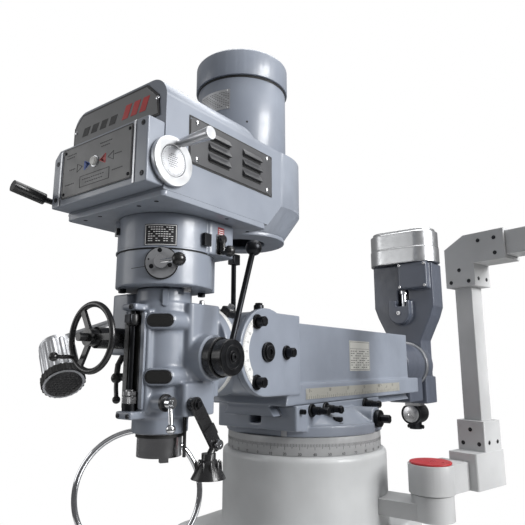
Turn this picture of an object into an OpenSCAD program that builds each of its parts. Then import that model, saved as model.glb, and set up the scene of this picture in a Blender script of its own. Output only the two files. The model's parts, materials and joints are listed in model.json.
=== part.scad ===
// Turret milling machine with a variable-speed head, a tilting knuckle,
// a sliding ram with a slotting head at its rear, and a knee-type table.
// Origin: on the floor, under the axis that the turret turns about.
// +Z is up, +X is the operator's right, +Y runs from the operator to the rear.

/* [Machine] */
// Height of the spindle nose above the floor, quill raised
nose_height = 1230; // [1150:5:1350]
// Distance from the turret axis forward to the spindle axis
overarm = 532; // [500:2:580]
// Gap round a shaft or slide that runs in its seat
run_gap = 0.05; // [0.02:0.01:0.1]
// Gap between castings that pass each other
pass_gap = 0.5; // [0.4:0.1:1]
// Drilled hole for the large holding-down bolts
anchor_hole_d = 18; // [12:1:24]

/* [Base and column] */
// Width of the base
base_w = 620; // [560:10:720]
// Length of the base, front to rear
base_l = 1080; // [1000:10:1200]
// Height of the base
base_h = 160; // [130:5:200]
// Width of the column body
column_w = 420; // [380:5:460]
// Depth of the column body
column_d = 520; // [480:5:560]
// Radius of the round column top
column_top_r = 223; // [215:1:235]
// Radius of the graduated turret ring
turret_ring_r = 209; // [200:1:212]
// Height of the graduated turret ring
turret_ring_h = 44; // [36:1:50]
// Width across the vertical column slideway
way_w = 260; // [240:5:300]
// Thickness of the vertical column slideway
way_t = 34; // [28:1:40]

/* [Knee, saddle and table] */
// Height of the table surface above the floor
table_height = 830; // [800:5:860]
// Length of the table
table_l = 1270; // [1100:10:1400]
// Width of the table
table_w = 254; // [230:2:280]
// Thickness of the table
table_t = 78; // [70:1:90]
// Height of the saddle
saddle_h = 90; // [80:1:110]
// Width of the knee
knee_w = 300; // [280:5:340]
// Radius of the table handwheels
handwheel_r = 88; // [75:1:100]

/* [Turret and ram] */
// Half of the width of the turret's dovetail block
turret_half_w = 123; // [118:1:130]
// Half of the width of the ram's foot
ram_half_w = 115; // [110:1:117]
// Height of the ram above its sliding face
ram_h = 198; // [180:2:220]
// Length of the ram's foot
ram_l = 840; // [780:5:900]
// Half of the width of the ram's upright body
ram_body_half_w = 104; // [98:1:108]
// Radius of the ram's fork ears about the tilt axis
ear_r = 98; // [92:1:100]
// Outer half-width over the fork ears
ear_half_w = 120; // [119:1:124]

/* [Head] */
// Radius of the swivel flange between head and knuckle
swivel_r = 101; // [96:1:101]
// Radius of the gear case
gear_case_r = 101; // [92:1:106]
// Half of the width of the belt housing
housing_half_w = 146; // [138:1:152]
// Height of the belt housing above its seam
housing_h = 225; // [205:1:235]
// Radius of the motor body
motor_r = 115.5; // [105:0.5:120]
// Height of the motor body above the housing floor
motor_h = 389; // [360:1:420]
// Height of the motor's fan cover
fan_cover_h = 77; // [60:1:90]

/* [Quill and spindle] */
// Radius of the quill
quill_r = 50; // [46:0.5:52]
// Radius of the spindle nose
nose_r = 44.45; // [40:0.05:45]
// Height of the spindle nose below the quill
nose_h = 37; // [32:1:40]
// Large radius of the nose taper
taper_r = 22.2; // [18:0.1:25]
// Radius of the fine-feed handwheel rim
fine_wheel_r = 65; // [60:1:68]
// Length of the quill-feed lever
feed_lever_l = 225; // [190:5:240]

/* [Slotting head and pendant] */
// Height of the slotting head's swivel axis above the ram's sliding face
slot_axis_h = 94; // [90:1:100]
// Half of the width of the slotting head
slot_half_w = 125; // [115:1:130]
// Side of the pendant's square post
post_w = 50; // [44:1:56]
// Height of the pendant's post
post_h = 524; // [460:1:560]
// Length of the pendant's upper tube
pendant_reach = 360; // [300:10:420]

/* [Hidden] */
$fn = 96;
eps = 0.01;
// heights of the head, counted from the spindle nose
ram_z = 81;
tilt_y = 202;
tilt_z = 204.5;
swivel_y = 123;
swivel_z = 206;
feed_y = 46;
feed_z = 191;
housing_z = 485;
motor_y = 250;
ring_top_z = 5;
column_top_z = ring_top_z - turret_ring_h;
column_front = -column_d / 2 - 20;
// heights above the floor
column_h = nose_height + column_top_z;
saddle_top = table_height - table_t;
knee_top = saddle_top - saddle_h;
knee_h = 330;
knee_bottom = knee_top - knee_h;
crank_x = knee_w / 2 - 45;
crank_z = knee_top - 150;
table_y = -overarm;
way_front = column_front - way_t;
way_neck = way_w / 2 - way_t * 0.6;
// pivot of the pendant, and its post counted from there
pendant_x = 343;
pendant_y = 32;
pendant_z = 1106;
post_x = 31;
post_y = 173;
// top of the vertical slideway and of the square part of the column
way_top = column_h - 220;
column_body_top = column_h - 190;
// axis of the speed crank
crank_y = -132;
speed_z = 539;
// axis of the speed selector on the gear case
selector_heading = -47;
selector_z = 370;
// hinge of the guard hoop
guard_x = -46;
guard_y = 58;
guard_z = 100;
guard_heading = 48;

// ---------------------------------------------------------------- helpers

// moves children from the spindle-nose origin to the machine origin
module at_nose() {
  translate([0, -overarm, nose_height]) children();
}

// rectangle with rounded corners
module rounded(w, d, r) {
  if (r == 0) {
    square([w, d]);
  } else {
    translate([r, 0]) square([w - 2 * r, d]);
    translate([0, r]) square([w, d - 2 * r]);
    for (x = [r, w - r]) {
      for (y = [r, d - r]) {
        translate([x, y]) circle(r);
      }
    }
  }
}

// upright block from a corner, with rounded vertical edges
module block(lo, hi, r = 0) {
  translate([lo[0], lo[1], lo[2]]) linear_extrude(hi[2] - lo[2])
    rounded(hi[0] - lo[0], hi[1] - lo[1], r);
}

// cylinder along +X
module rod_x(p, r, l) {
  translate(p) rotate([0, 90, 0]) cylinder(h = l, r = r);
}

// cylinder along +Y
module rod_y(p, r, l) {
  translate(p) rotate([-90, 0, 0]) cylinder(h = l, r = r);
}

// cylinder along +Z
module rod_z(p, r, l) {
  translate(p) cylinder(h = l, r = r);
}

// straight round rod between two points
module strut(a, b, r) {
  d = b - a;
  l = norm(d);
  translate(a) rotate([0, acos(d[2] / l), atan2(d[1], d[0])]) cylinder(h = l, r = r);
}

// profile drawn in Y and Z, extruded along X and centred
module side_profile(points, half_w) {
  translate([-half_w, 0, 0]) rotate([90, 0, 90]) linear_extrude(2 * half_w) polygon(points);
}

// profile drawn in X and Z, extruded along +Y from y
module front_profile(points, y, l) {
  translate([0, y + l, 0]) rotate([90, 0, 0]) linear_extrude(l) polygon(points);
}

// hexagon bolt head standing on +X
module hex_x(p, af, l) {
  translate(p) rotate([0, 90, 0]) cylinder(h = l, r = af / 2 / cos(30), $fn = 6);
}

// spoked wheel about +Z, rim centred on z = 0
module wheel(r, rim, hub_r, hub_h, spokes, bore_r = 0) {
  difference() {
    union() {
      rotate_extrude() translate([r, 0]) circle(rim);
      cylinder(h = hub_h, r = hub_r, center = true);
      for (i = [0 : spokes - 1]) {
        rotate([0, 0, 360 / spokes * i]) translate([hub_r - 2, -rim, -rim * 0.55])
          cube([r - hub_r + 2, 2 * rim, rim * 1.1]);
      }
    }
    if (bore_r > 0) cylinder(h = 3 * hub_h, r = bore_r, center = true);
  }
}

// ------------------------------------------------------- base and column

module base() {
  color([0.75, 0.76, 0.77]) difference() {
    union() {
      block([-base_w / 2, -base_l * 0.6, 0], [base_w / 2, base_l * 0.4, base_h * 0.55], 40);
      block([-base_w / 2 + 30, -base_l * 0.6 + 30, base_h * 0.55 - eps],
        [base_w / 2 - 30, base_l * 0.4 - 30, base_h], 30);
    }
    // coolant trough round the foot of the column
    block([-base_w / 2 + 50, -base_l * 0.6 + 50, base_h - 30],
      [base_w / 2 - 50, column_front - 40, base_h + eps], 20);
    // holding-down bolt holes
    for (x = [-base_w / 2 + 15 + 30, base_w / 2 - 15 - 30]) {
      for (y = [-base_l * 0.6 + 15, base_l * 0.4 - 15]) {
        rod_z([x, y, -eps], anchor_hole_d / 2, base_h);
      }
    }
    // hollow under the column
    block([-column_w / 2 + 50, column_front + 70, 30], [column_w / 2 - 50, column_d / 2 - 60, base_h + 1]);
    // bore for the tail of the elevating screw
    rod_z([0, table_y + 150, 20], 34, base_h);
  }
}

module column() {
  w = column_w / 2;
  edge = 8;
  color([0.75, 0.76, 0.77]) difference() {
    union() {
      block([-w, column_front, base_h], [w, column_d / 2, column_body_top], 40);
      rod_z([0, 0, base_h], column_top_r, column_h - base_h - edge);
      translate([0, 0, column_h - edge - eps]) cylinder(h = edge, r1 = column_top_r, r2 = column_top_r - edge);
      // dovetail slideway for the knee
      translate([0, 0, base_h + 20]) linear_extrude(way_top - base_h - 20)
        polygon([[-way_neck, column_front + 1], [-way_neck, column_front], [-way_w / 2, way_front],
          [way_w / 2, way_front], [way_neck, column_front], [way_neck, column_front + 1]]);
      // flange that closes the square part under the round top
      block([-w - 30, column_front, column_body_top - 60], [w + 30, column_d / 2 + 10, column_body_top], 60);
    }
    rod_z([0, 0, column_h - 90], column_top_r - 60, 100);
    // hollow core, closed by the base
    block([-w + 50, column_front + 70, base_h - 1], [w - 50, 10, column_h - 270]);
    // electrical compartment in the rear
    block([-w + 50, 40, base_h + 120], [w - 50, column_d / 2 + eps, column_h - 270]);
  }
}

module column_door() {
  w = column_w / 2;
  color([0.7, 0.71, 0.72]) {
    block([-w + 35, column_d / 2, base_h + 100], [w - 35, column_d / 2 + 9, column_h - 255], 4);
    rod_y([w - 70, column_d / 2 + 9 - eps, (base_h + column_h) / 2], 14, 12);
  }
}

module turret_ring() {
  color([0.8, 0.81, 0.82]) difference() {
    rod_z([0, 0, column_h], turret_ring_r, turret_ring_h);
    rod_z([0, 0, column_h - 1], turret_ring_r - 40, turret_ring_h + 2);
  }
}

// ------------------------------------------------ knee, saddle and table

// female dovetail that wraps the column slideway, drawn with a running gap
module way_cutter(g) {
  linear_extrude(knee_h + 200, center = true)
    polygon([[-way_neck - g, column_front + 30], [-way_neck - g, column_front], [-way_w / 2 - g, way_front],
      [-way_w / 2 - g, way_front - g], [way_w / 2 + g, way_front - g], [way_w / 2 + g, way_front],
      [way_neck + g, column_front], [way_neck + g, column_front + 30]]);
}

module knee() {
  w = knee_w / 2;
  front = table_y - 240;
  color([0.68, 0.7, 0.73]) difference() {
    union() {
      block([-w - 25, way_front - 60, knee_bottom - 60], [w + 25, column_front - 2, knee_top - 38], 8);
      side_profile([[way_front - 40, knee_top], [way_front - 40, knee_bottom],
        [table_y + 60, knee_bottom + 40], [front, knee_top - 190], [front, knee_top]], w);
      rod_z([0, table_y + 150, knee_bottom], 60, 120);
    }
    translate([0, 0, knee_top - knee_h / 2]) way_cutter(run_gap);
    // slide for the saddle: dovetail flanks
    for (s = [-1, 1]) {
      front_profile([[s * (w + 1), knee_top - 24], [s * (w - 20), knee_top - 24], [s * (w - 6), knee_top],
        [s * (w - 6), knee_top + 1], [s * (w + 1), knee_top + 1]], front - 1, way_front - front);
    }
    // hollow for the elevating gear and the cross screw
    block([-70, front + 40, knee_top - 150], [70, way_front - 90, knee_top + 1], 10);
    rod_z([0, table_y + 150, knee_bottom - 62], 22, knee_h + 64);
    // bearings for the knee crank shaft and the cross screw
    rod_y([crank_x, front - 1, crank_z], 15 + run_gap, 45);
    rod_y([0, front - 1, knee_top - 45], 16 + run_gap, 45);
  }
}

// telescopic elevating screw standing in the base
module knee_screw() {
  color([0.6, 0.61, 0.63]) {
    rod_z([0, table_y + 150, 20], 33, base_h - 15);
    rod_z([0, table_y + 150, 40], 20, knee_bottom + 120);
  }
}

// crank handle that raises the knee
module knee_crank() {
  y = table_y - 240;
  color([0.12, 0.12, 0.13]) {
    rod_y([crank_x, y - 115, crank_z], 15, 145);
    rod_y([crank_x, y - 119, crank_z], 24, 36);
    strut([crank_x, y - 104, crank_z], [crank_x, y - 120, crank_z - 115], 10);
    rod_y([crank_x, y - 215, crank_z - 115], 14, 105);
  }
}

// dovetail rail under the table, enlarged by g for its slot in the saddle
module table_rail(half_l, g) {
  wide = table_w / 2 - 20 + g;
  neck = table_w / 2 - 34 + g;
  foot = saddle_top - 24;
  side_profile([[table_y - neck, saddle_top + 2], [table_y - neck, saddle_top], [table_y - wide, foot],
    [table_y - wide, foot - g], [table_y + wide, foot - g], [table_y + wide, foot],
    [table_y + neck, saddle_top], [table_y + neck, saddle_top + 2]], half_l);
}

module saddle() {
  w = knee_w / 2;
  color([0.68, 0.7, 0.73]) difference() {
    union() {
      block([-w - 40, table_y - 150, knee_top + run_gap], [w + 40, table_y + 150, saddle_top], 10);
      block([-w - 40, table_y - 150, knee_top - 34], [w + 40, table_y + 150, knee_top + 1], 10);
    }
    // dovetail that grips the knee
    front_profile([[-w - run_gap, knee_top - 40], [-w - run_gap, knee_top - 24 + run_gap],
      [-w + 20 - run_gap, knee_top - 24 + run_gap], [-w + 6 - run_gap, knee_top + run_gap],
      [w - 6 + run_gap, knee_top + run_gap], [w - 20 + run_gap, knee_top - 24 + run_gap],
      [w + run_gap, knee_top - 24 + run_gap], [w + run_gap, knee_top - 40]], table_y - 200, 400);
    // dovetail slot for the table
    table_rail(w + 60, run_gap);
    // channel for the table screw
    block([-w - 60, table_y - 34, saddle_top - 52], [w + 60, table_y + 34, saddle_top], 0);
  }
}

// saddle screw with its handwheel
module cross_feed() {
  front = table_y - 240;
  color([0.6, 0.61, 0.63]) {
    rod_y([0, front - 50, knee_top - 45], 11, 380);
    rod_y([0, front - 2, knee_top - 45], 16, 40);
  }
  color([0.12, 0.12, 0.13]) translate([0, front - 36, knee_top - 45]) rotate([90, 0, 0]) hand_crank_wheel(11);
}

module hand_crank_wheel(bore_r) {
  wheel(handwheel_r, 9, 24, 40, 3, bore_r);
  translate([handwheel_r, 0, 5]) cylinder(h = 45, r = 8);
}

module t_slots(y0, z1) {
  for (i = [-1, 0, 1]) {
    y = y0 + i * 63.5;
    block([-table_l, y - 8, z1 - 40], [table_l, y + 8, z1 + 1]);
    block([-table_l, y - 13.5, z1 - 30], [table_l, y + 13.5, z1 - 17]);
  }
}

module table() {
  l = table_l / 2;
  color([0.62, 0.63, 0.65]) difference() {
    union() {
      block([-l, table_y - table_w / 2, saddle_top + run_gap], [l, table_y + table_w / 2, table_height], 3);
      table_rail(l, 0);
      // end brackets for the screw
      for (s = [-1, 1]) {
        translate([s * (l + 22), 0, 0]) block([-22, table_y - 60, saddle_top - 52],
          [22, table_y + 60, saddle_top + 40], 8);
      }
    }
    t_slots(table_y, table_height);
    block([-l + 1, table_y - 30, saddle_top - 60], [l - 1, table_y + 30, saddle_top + 2]);
    rod_x([-l - 60, table_y, saddle_top - 22], 12 + run_gap, table_l + 120);
  }
}

// table screw with a handwheel at each end
module table_feed() {
  color([0.6, 0.61, 0.63]) rod_x([-table_l / 2 - 90, table_y, saddle_top - 22], 12, table_l + 180);
  color([0.12, 0.12, 0.13]) for (s = [-1, 1]) {
    translate([s * (table_l / 2 + 68), table_y, saddle_top - 22]) rotate([0, s * 90, 0])
      hand_crank_wheel(12);
  }
}

// -------------------------------------------------------- turret and ram

module turret() {
  color([0.5, 0.53, 0.58]) at_nose() difference() {
    union() {
      rod_z([0, overarm, ring_top_z + run_gap], 213, 26);
      block([-turret_half_w, 312, 20], [turret_half_w, 766, ram_z - run_gap], 6);
      translate([0, overarm, 30]) cylinder(h = 34, r1 = 200, r2 = 136);
      // bearing of the ram pinion
      rod_x([100, 582, 37], 29, 98);
      rod_z([0, overarm, ring_top_z - 30], 150, 32);
    }
    // dovetail for the ram
    front_profile([[-62 - run_gap, ram_z + 1], [-78 - run_gap, ram_z - 24 - run_gap],
      [78 + run_gap, ram_z - 24 - run_gap], [62 + run_gap, ram_z + 1]], 290, 490);
    block([-16, 290, ram_z - 44], [16, 780, ram_z - 20]);
    rod_x([0, 582, 37], 12 + run_gap, 200);
    // flats under the nose of the block and in front of the pinion bearing
    block([-160, 290, ring_top_z - 1], [160, 334, 22]);
    block([198, 540, ring_top_z - 1], [230, 624, 32]);
  }
}

// clamp bolts along the right flank of the turret
module ram_clamps() {
  color([0.12, 0.12, 0.13]) at_nose() {
    for (y = [378, 445, 667]) {
      rod_x([turret_half_w, y, 67], 10, 24);
      rod_x([turret_half_w + 24 - eps, y, 67], 8, 16);
    }
    rod_x([turret_half_w, 330, 67], 6, 12);
  }
}

// shaft with a squared end that racks the ram in and out
module ram_pinion() {
  color([0.12, 0.12, 0.13]) at_nose() {
    rod_x([20, 582, 37], 12, 179);
    rod_x([198 + pass_gap, 582, 37], 22, 12);
    hex_x([210, 582, 37], 19, 26);
  }
}

module ear_outline(r) {
  circle(r);
  translate([0, -r]) square([133, r + 90]);
}

module ram() {
  back = 270 + ram_l;
  color([0.62, 0.65, 0.7]) at_nose() difference() {
    union() {
      // foot with its raised ledge
      side_profile([[280, ram_z], [290, ram_z + 30], [330, ram_z + 50], [back, ram_z + 50],
        [back, ram_z]], ram_half_w);
      // upright body
      side_profile([[320, ram_z + 10], [320, ram_z + ram_h], [back - 61, ram_z + ram_h],
        [back - 61, ram_z + 10]], ram_body_half_w);
      // dovetail under the foot
      front_profile([[-62, ram_z + 1], [-78, ram_z - 24], [78, ram_z - 24], [62, ram_z + 1]], 282, ram_l - 14);
      // fork for the knuckle
      translate([-ear_half_w, tilt_y, tilt_z]) rotate([90, 0, 90]) linear_extrude(2 * ear_half_w)
        ear_outline(ear_r);
      // seat for the slotting head
      rod_y([0, back - 150, ram_z + slot_axis_h], 78, 150);
    }
    // space that the knuckle turns in
    translate([-swivel_r - 2, 0, 0]) {
      rod_x([0, tilt_y, tilt_z], 107, 2 * swivel_r + 4);
      block([0, 60, tilt_z - 150], [2 * swivel_r + 4, tilt_y, tilt_z + 150]);
    }
    // slot that the knuckle's upright rod leans back into
    block([-12, tilt_y + 20, tilt_z + 55], [12, tilt_y + 104, tilt_z + 120]);
    // tilt bolt
    rod_x([-200, tilt_y, tilt_z], 16 + run_gap, 400);
  }
}

module ram_scale() {
  color([0.85, 0.84, 0.78]) at_nose() for (s = [-1, 1]) {
    x = s > 0 ? ram_half_w : -ram_half_w - 1;
    block([x, 366, ram_z + 12], [x + 1, 270 + ram_l - 170, ram_z + 38]);
  }
}

// graduated arcs on the fork
module tilt_scale() {
  color([0.9, 0.9, 0.88]) at_nose() for (s = [-1, 1]) {
    x = s > 0 ? ear_half_w : -ear_half_w - 1;
    difference() {
      rod_x([x, tilt_y, tilt_z], ear_r - 9, 1);
      rod_x([x - 1, tilt_y, tilt_z], ear_r - 30, 3);
      block([x - 1, tilt_y - 54, 0], [x + 2, tilt_y + 120, 400]);
    }
  }
}

// pivot pin of the knuckle and the bolts that lock it
module tilt_bolts() {
  color([0.15, 0.15, 0.16]) at_nose() for (s = [-1, 1]) {
    x = s > 0 ? ear_half_w : -ear_half_w - 22;
    for (p = [[-39, 65], [-40, -65], [74, 0]]) {
      rod_x([x, tilt_y + p[0], tilt_z + p[1]], 11, 22);
    }
  }
  color([0.3, 0.3, 0.31]) at_nose() {
    rod_x([-ear_half_w - 6, tilt_y, tilt_z], 16, 2 * ear_half_w + 12);
  }
}

module knuckle() {
  color([0.45, 0.48, 0.54]) at_nose() difference() {
    union() {
      rod_y([0, swivel_y + run_gap, swivel_z], swivel_r - 2, 58);
      rod_x([-swivel_r + 4, tilt_y, tilt_z], 92, 2 * swivel_r - 8);
      rod_z([0, tilt_y + 22, tilt_z + 60], 13, 35);
    }
    block([-200, 0, 0], [200, swivel_y + run_gap, 400]);
    rod_x([-200, tilt_y, tilt_z], 16 + run_gap, 400);
    rod_y([0, swivel_y - 1, swivel_z], 40, 30);
  }
}

// lever standing on the knuckle
module knuckle_rod() {
  color([0.1, 0.1, 0.11]) at_nose() {
    rod_z([0, tilt_y + 22, tilt_z + 95], 6, 140);
    block([-10, tilt_y + 10, tilt_z + 215], [10, tilt_y + 36, tilt_z + 240], 3);
  }
}

// ---------------------------------------------------------- slotting head

module slot_knuckle() {
  back = 270 + ram_l;
  color([0.28, 0.3, 0.35]) at_nose() difference() {
    union() {
      rod_y([0, back, ram_z + slot_axis_h], 84, 168);
      block([-70, back + 40, ram_z - 40], [70, back + 168, ram_z + slot_axis_h], 8);
    }
    rod_y([0, back + 120, ram_z + slot_axis_h], 30, 100);
  }
}

module slot_ring() {
  color([0.8, 0.81, 0.83]) at_nose() difference() {
    rod_y([0, 438 + ram_l, ram_z + slot_axis_h], 91, 18);
    rod_y([0, 437 + ram_l, ram_z + slot_axis_h], 60, 20);
  }
}

module slot_body() {
  y = 456 + ram_l + run_gap;
  z = ram_z + slot_axis_h;
  w = slot_half_w;
  color([0.28, 0.3, 0.35]) at_nose() difference() {
    union() {
      front_profile([[-w, z + 407], [-w, z + 230], [-w + 14, z + 190], [-66, z + 96], [-66, z - 50],
        [66, z - 50], [66, z + 96], [w - 14, z + 190], [w, z + 230], [w, z + 407]], y, 112);
      rod_y([0, y, z], 88, 60);
      block([-78, y, z - 147], [78, y + 112, z - 45], 6);
      // gearbox and oil cup on the front face
      block([-5, y - 34, z + 300], [w - 10, y + 1, z + 407], 4);
      rod_y([-8, y - 32, z + 205], 44, 33);
      block([-52, y - 32, z + 205], [36, y + 1, z + 255]);
    }
    // guide of the tool ram
    block([-30 - run_gap, y + 40, z - 150], [30 + run_gap, y + 95 + run_gap, z + 260]);
    // window in front of the crank
    block([-20, y - 40, z + 232], [24, y + 42, z + 300]);
  }
}

module slot_cover() {
  y = 456 + ram_l + run_gap;
  z = ram_z + slot_axis_h + 407;
  color([0.82, 0.83, 0.84]) at_nose() {
    block([-slot_half_w - 17, y - 42, z], [slot_half_w + 17, y + 118, z + 62], 76);
    block([-slot_half_w - 15, y - 40, z + 62 - eps], [slot_half_w + 15, y + 116, z + 128], 74);
    block([-slot_half_w - 5, y - 30, z + 128 - eps], [slot_half_w + 5, y + 106, z + 140], 64);
  }
}

module slot_ram() {
  y = 456 + ram_l + run_gap;
  z = ram_z + slot_axis_h;
  color([0.62, 0.63, 0.65]) at_nose()
    block([-30, y + 40 + run_gap, z - 160], [30, y + 95, z + 150]);
}

module slot_tool_head() {
  y = 456 + ram_l + run_gap;
  z = ram_z + slot_axis_h;
  color([0.15, 0.15, 0.16]) at_nose() difference() {
    union() {
      rod_y([0, y + 22, z - 190], 40, 90);
      rod_z([0, y + 66, z - 250], 24, 40);
    }
    block([-31, y, z - 160 - eps], [31, y + 120, z - 100]);
    rod_z([0, y + 66, z - 251], 9, 40);
  }
}

// ------------------------------------------------------------------- head

// frame of the guard hoop's hinge, +X along its pin
module at_guard() {
  translate([guard_x, guard_y, 0]) rotate([0, 0, guard_heading]) children();
}

module quill_housing() {
  color([0.5, 0.53, 0.58]) at_nose() difference() {
    union() {
      rod_z([0, 0, nose_h + 7], quill_r + 6, 40);
      rod_z([0, 0, 76], quill_r + 10, 224);
      rod_z([0, 0, 300 - eps], quill_r + 7, 30);
      block([-38, -66, 88], [30, 0, 284], 4);
      block([-26, -90, 282], [16, -20, 295], 3);
      block([-23, -95, 75], [23, -20, 90], 3);
      block([-78, 0, 112], [78, 92, 300], 10);
      for (z = [154, 262]) {
        rod_y([55, -38, z], 18, 124);
      }
      rod_y([0, 85, swivel_z], swivel_r, swivel_y - 85);
      rod_x([30, feed_y, feed_z], 46, 74);
      // casting that carries the fine feed
      block([-104, -56, 196], [-42, 60, 322], 12);
      block([36, -16, 78], [84, 72, 142], 8);
      rod_x([30, -44, 106], 15, 34);
      // lugs that carry the guard hoop
      at_guard() for (s = [-1, 1]) {
        block([s * 16 - 4, -9, guard_z - 8], [s * 16 + 4, 9, 114]);
      }
    }
    at_guard() rod_x([-30, 0, guard_z], 3 + run_gap, 60);
    rod_z([0, 0, 0], quill_r + run_gap, 400);
    // slot that the depth stop runs in
    block([-20, -110, 92], [4, -20, 282]);
    // shaft of the quill feed
    rod_x([64, feed_y, feed_z], 12 + run_gap, 60);
    // shaft of the fine feed
    rod_y([-61, -60, 229], 8 + run_gap, 60);
    // shaft of the quill lock
    rod_x([56, -44, 106], 6 + run_gap, 20);
    // recess inside the swivel face
    rod_y([0, 100, swivel_z], 40, 40);
  }
}

module gear_case() {
  r = gear_case_r;
  groove_z = 398;
  top = housing_z - 12;
  color([0.5, 0.53, 0.58]) at_nose() difference() {
    union() {
      rod_z([0, 0, 330], r, groove_z - 330);
      rod_z([0, 0, groove_z - eps], r - 3, 4);
      rod_z([0, 0, groove_z + 3], r, top - groove_z - 3);
      block([-70, 20, groove_z + 3], [r + 3, 104, top], 12);
      block([-60, 20, 330], [60, 96, groove_z + 4], 12);
    }
    rod_z([0, 0, 300], quill_r + 5, 200);
    rod_x([70, 56, 436], 9 + run_gap, 60);
    rotate([0, 0, selector_heading]) rod_x([r - 30, 0, selector_z], 9 + run_gap, 60);
  }
}

// plate curved to the gear case
module curved_plate(r, t, w, z0, z1, heading) {
  rotate([0, 0, heading]) intersection() {
    difference() {
      rod_z([0, 0, z0], r + t, z1 - z0);
      rod_z([0, 0, z0 - 1], r, z1 - z0 + 2);
    }
    block([0, -w / 2, z0 - 1], [r + 20, w / 2, z1 + 1]);
  }
}

module data_plate() {
  color([0.12, 0.12, 0.13]) at_nose() curved_plate(gear_case_r, 1.2, 63, 405, 448, -49);
}

module selector_plate() {
  color([0.85, 0.86, 0.88]) at_nose() rotate([0, 0, selector_heading]) difference() {
    rod_x([80, 0, selector_z], 30, gear_case_r - 74);
    rod_z([0, 0, selector_z - 60], gear_case_r, 120);
    rod_x([70, 0, selector_z], 9 + run_gap, 60);
  }
}

module selector_crank() {
  r = gear_case_r;
  z = selector_z;
  color([0.8, 0.81, 0.83]) at_nose() rotate([0, 0, selector_heading]) {
    rod_x([r - 25, 0, z], 9, 45);
    rod_x([r + 7, 0, z], 13, 14);
    strut([r + 17, 0, z], [r + 19, 29, z + 4], 5);
    translate([r + 19, 34, z + 5]) sphere(13);
  }
}

module range_lever() {
  color([0.12, 0.12, 0.13]) at_nose() {
    rod_x([80, 56, 436], 9, gear_case_r - 66);
    strut([gear_case_r + 10, 56, 436], [gear_case_r + 10, 56, 408], 6);
    rod_x([gear_case_r + 10, 56, 408], 6, 16);
    translate([gear_case_r + 29, 56, 408]) sphere(12);
  }
}

// pivot drum and quill-feed lever
module feed_hub() {
  color([0.1, 0.1, 0.11]) at_nose() {
    rod_x([66, feed_y, feed_z], 12, 60);
    rod_x([104 + pass_gap, feed_y, feed_z], 38, 20);
    rod_x([124, feed_y, feed_z], 35, 28);
    strut([142, feed_y + 5, feed_z + 26], [168, feed_y + feed_lever_l * 0.19, feed_z + feed_lever_l], 6);
    translate([168, feed_y + feed_lever_l * 0.19, feed_z + feed_lever_l]) sphere(17);
  }
}

module fine_wheel() {
  color([0.1, 0.1, 0.11]) at_nose() {
    translate([-61, -130, 229]) rotate([90, 0, 0]) wheel(fine_wheel_r, 6, 17, 22, 3);
    rod_y([-61, -120, 229], 21, 63.5);
    rod_y([-61, -160, 229], 8, 130);
    // crank knob on the rim
    rod_y([-112, -172, 192], 4, 40);
    translate([-112, -176, 192]) sphere(9);
  }
}

module quill_lock() {
  color([0.85, 0.86, 0.88]) at_nose() {
    rod_x([56.5, -44, 106], 6, 30);
    rod_x([64 + pass_gap, -44, 106], 11, 16);
    strut([74, -44, 104], [82, -48, 66], 4.5);
    translate([83, -49, 60]) sphere(9);
  }
}

module depth_stop() {
  color([0.5, 0.51, 0.52]) at_nose() {
    rod_z([-8, -72, 90], 6, 192);
    rod_z([-8, -72, 105], 13, 11);
    rod_z([-8, -72, 117], 10, 13);
  }
}

module depth_scale() {
  color([0.1, 0.1, 0.11]) at_nose() block([-35, -70, 94], [-23, -66, 272]);
}

// block on the quill that meets the depth stop
module quill_stop() {
  color([0.1, 0.1, 0.11]) at_nose() difference() {
    block([-18, -88, 258], [2, -30, 274], 3);
    rod_z([0, 0, 200], quill_r, 100);
    rod_z([-8, -72, 200], 6 + pass_gap, 100);
  }
}

module quill() {
  color([0.6, 0.61, 0.63]) at_nose() difference() {
    rod_z([0, 0, nose_h + 7], quill_r, 250);
    rod_z([0, 0, nose_h], 30 + run_gap, 300);
  }
}

module spindle() {
  color([0.7, 0.71, 0.73]) at_nose() difference() {
    union() {
      rod_z([0, 0, 0], nose_r, nose_h);
      rod_z([0, 0, nose_h - eps], nose_r - 4, 7 - run_gap);
      rod_z([0, 0, nose_h], 30, 280);
      rod_z([0, 0, nose_h + 270], 20, 150);
      // drive keys
      for (a = [-28, 152]) {
        rotate([0, 0, a]) block([30, -8, -8], [nose_r - 1.5, 8, 10]);
      }
    }
    translate([0, 0, -eps]) cylinder(h = 102, r1 = taper_r, r2 = taper_r * 0.4);
    rod_z([0, 0, 0], 9, 500);
  }
}

module housing_base() {
  z = housing_z - 12;
  color([0.47, 0.5, 0.55]) at_nose() difference() {
    union() {
      block([-housing_half_w - 2, -147, z], [housing_half_w + 2, 160, housing_z], 10);
      rod_z([0, motor_y, z + 2], 110, 10);
    }
    rod_z([0, 0, z - 5], 40, 40);
    rod_z([0, motor_y, z - 5], 60, 40);
  }
}

// upright rectangle with rounded top corners
module arch(w, z0, z1, r) {
  translate([-w, z0]) square([2 * w, z1 - z0 - r]);
  translate([-w + r, z0]) square([2 * w - 2 * r, z1 - z0]);
  for (s = [-1, 1]) {
    translate([s * (w - r), z1 - r]) circle(r);
  }
}

module housing_solid(w, y0, z0, z1, r_back) {
  intersection() {
    side_profile([[y0, z0], [167, z0], [222, z0 + 57], [motor_y, z0 + 57], [motor_y, z1 - 34],
      [118, z1 - 34], [91, z1], [y0, z1]], w);
    translate([0, motor_y, 0]) rotate([90, 0, 0]) linear_extrude(motor_y - y0) arch(w, z0, z1, 42);
  }
  translate([0, motor_y, z0]) cylinder(h = 57, r1 = r_back - 39, r2 = r_back);
  rod_z([0, motor_y, z0 + 57 - eps], r_back, z1 - z0 - 57 - 34);
}

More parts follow.
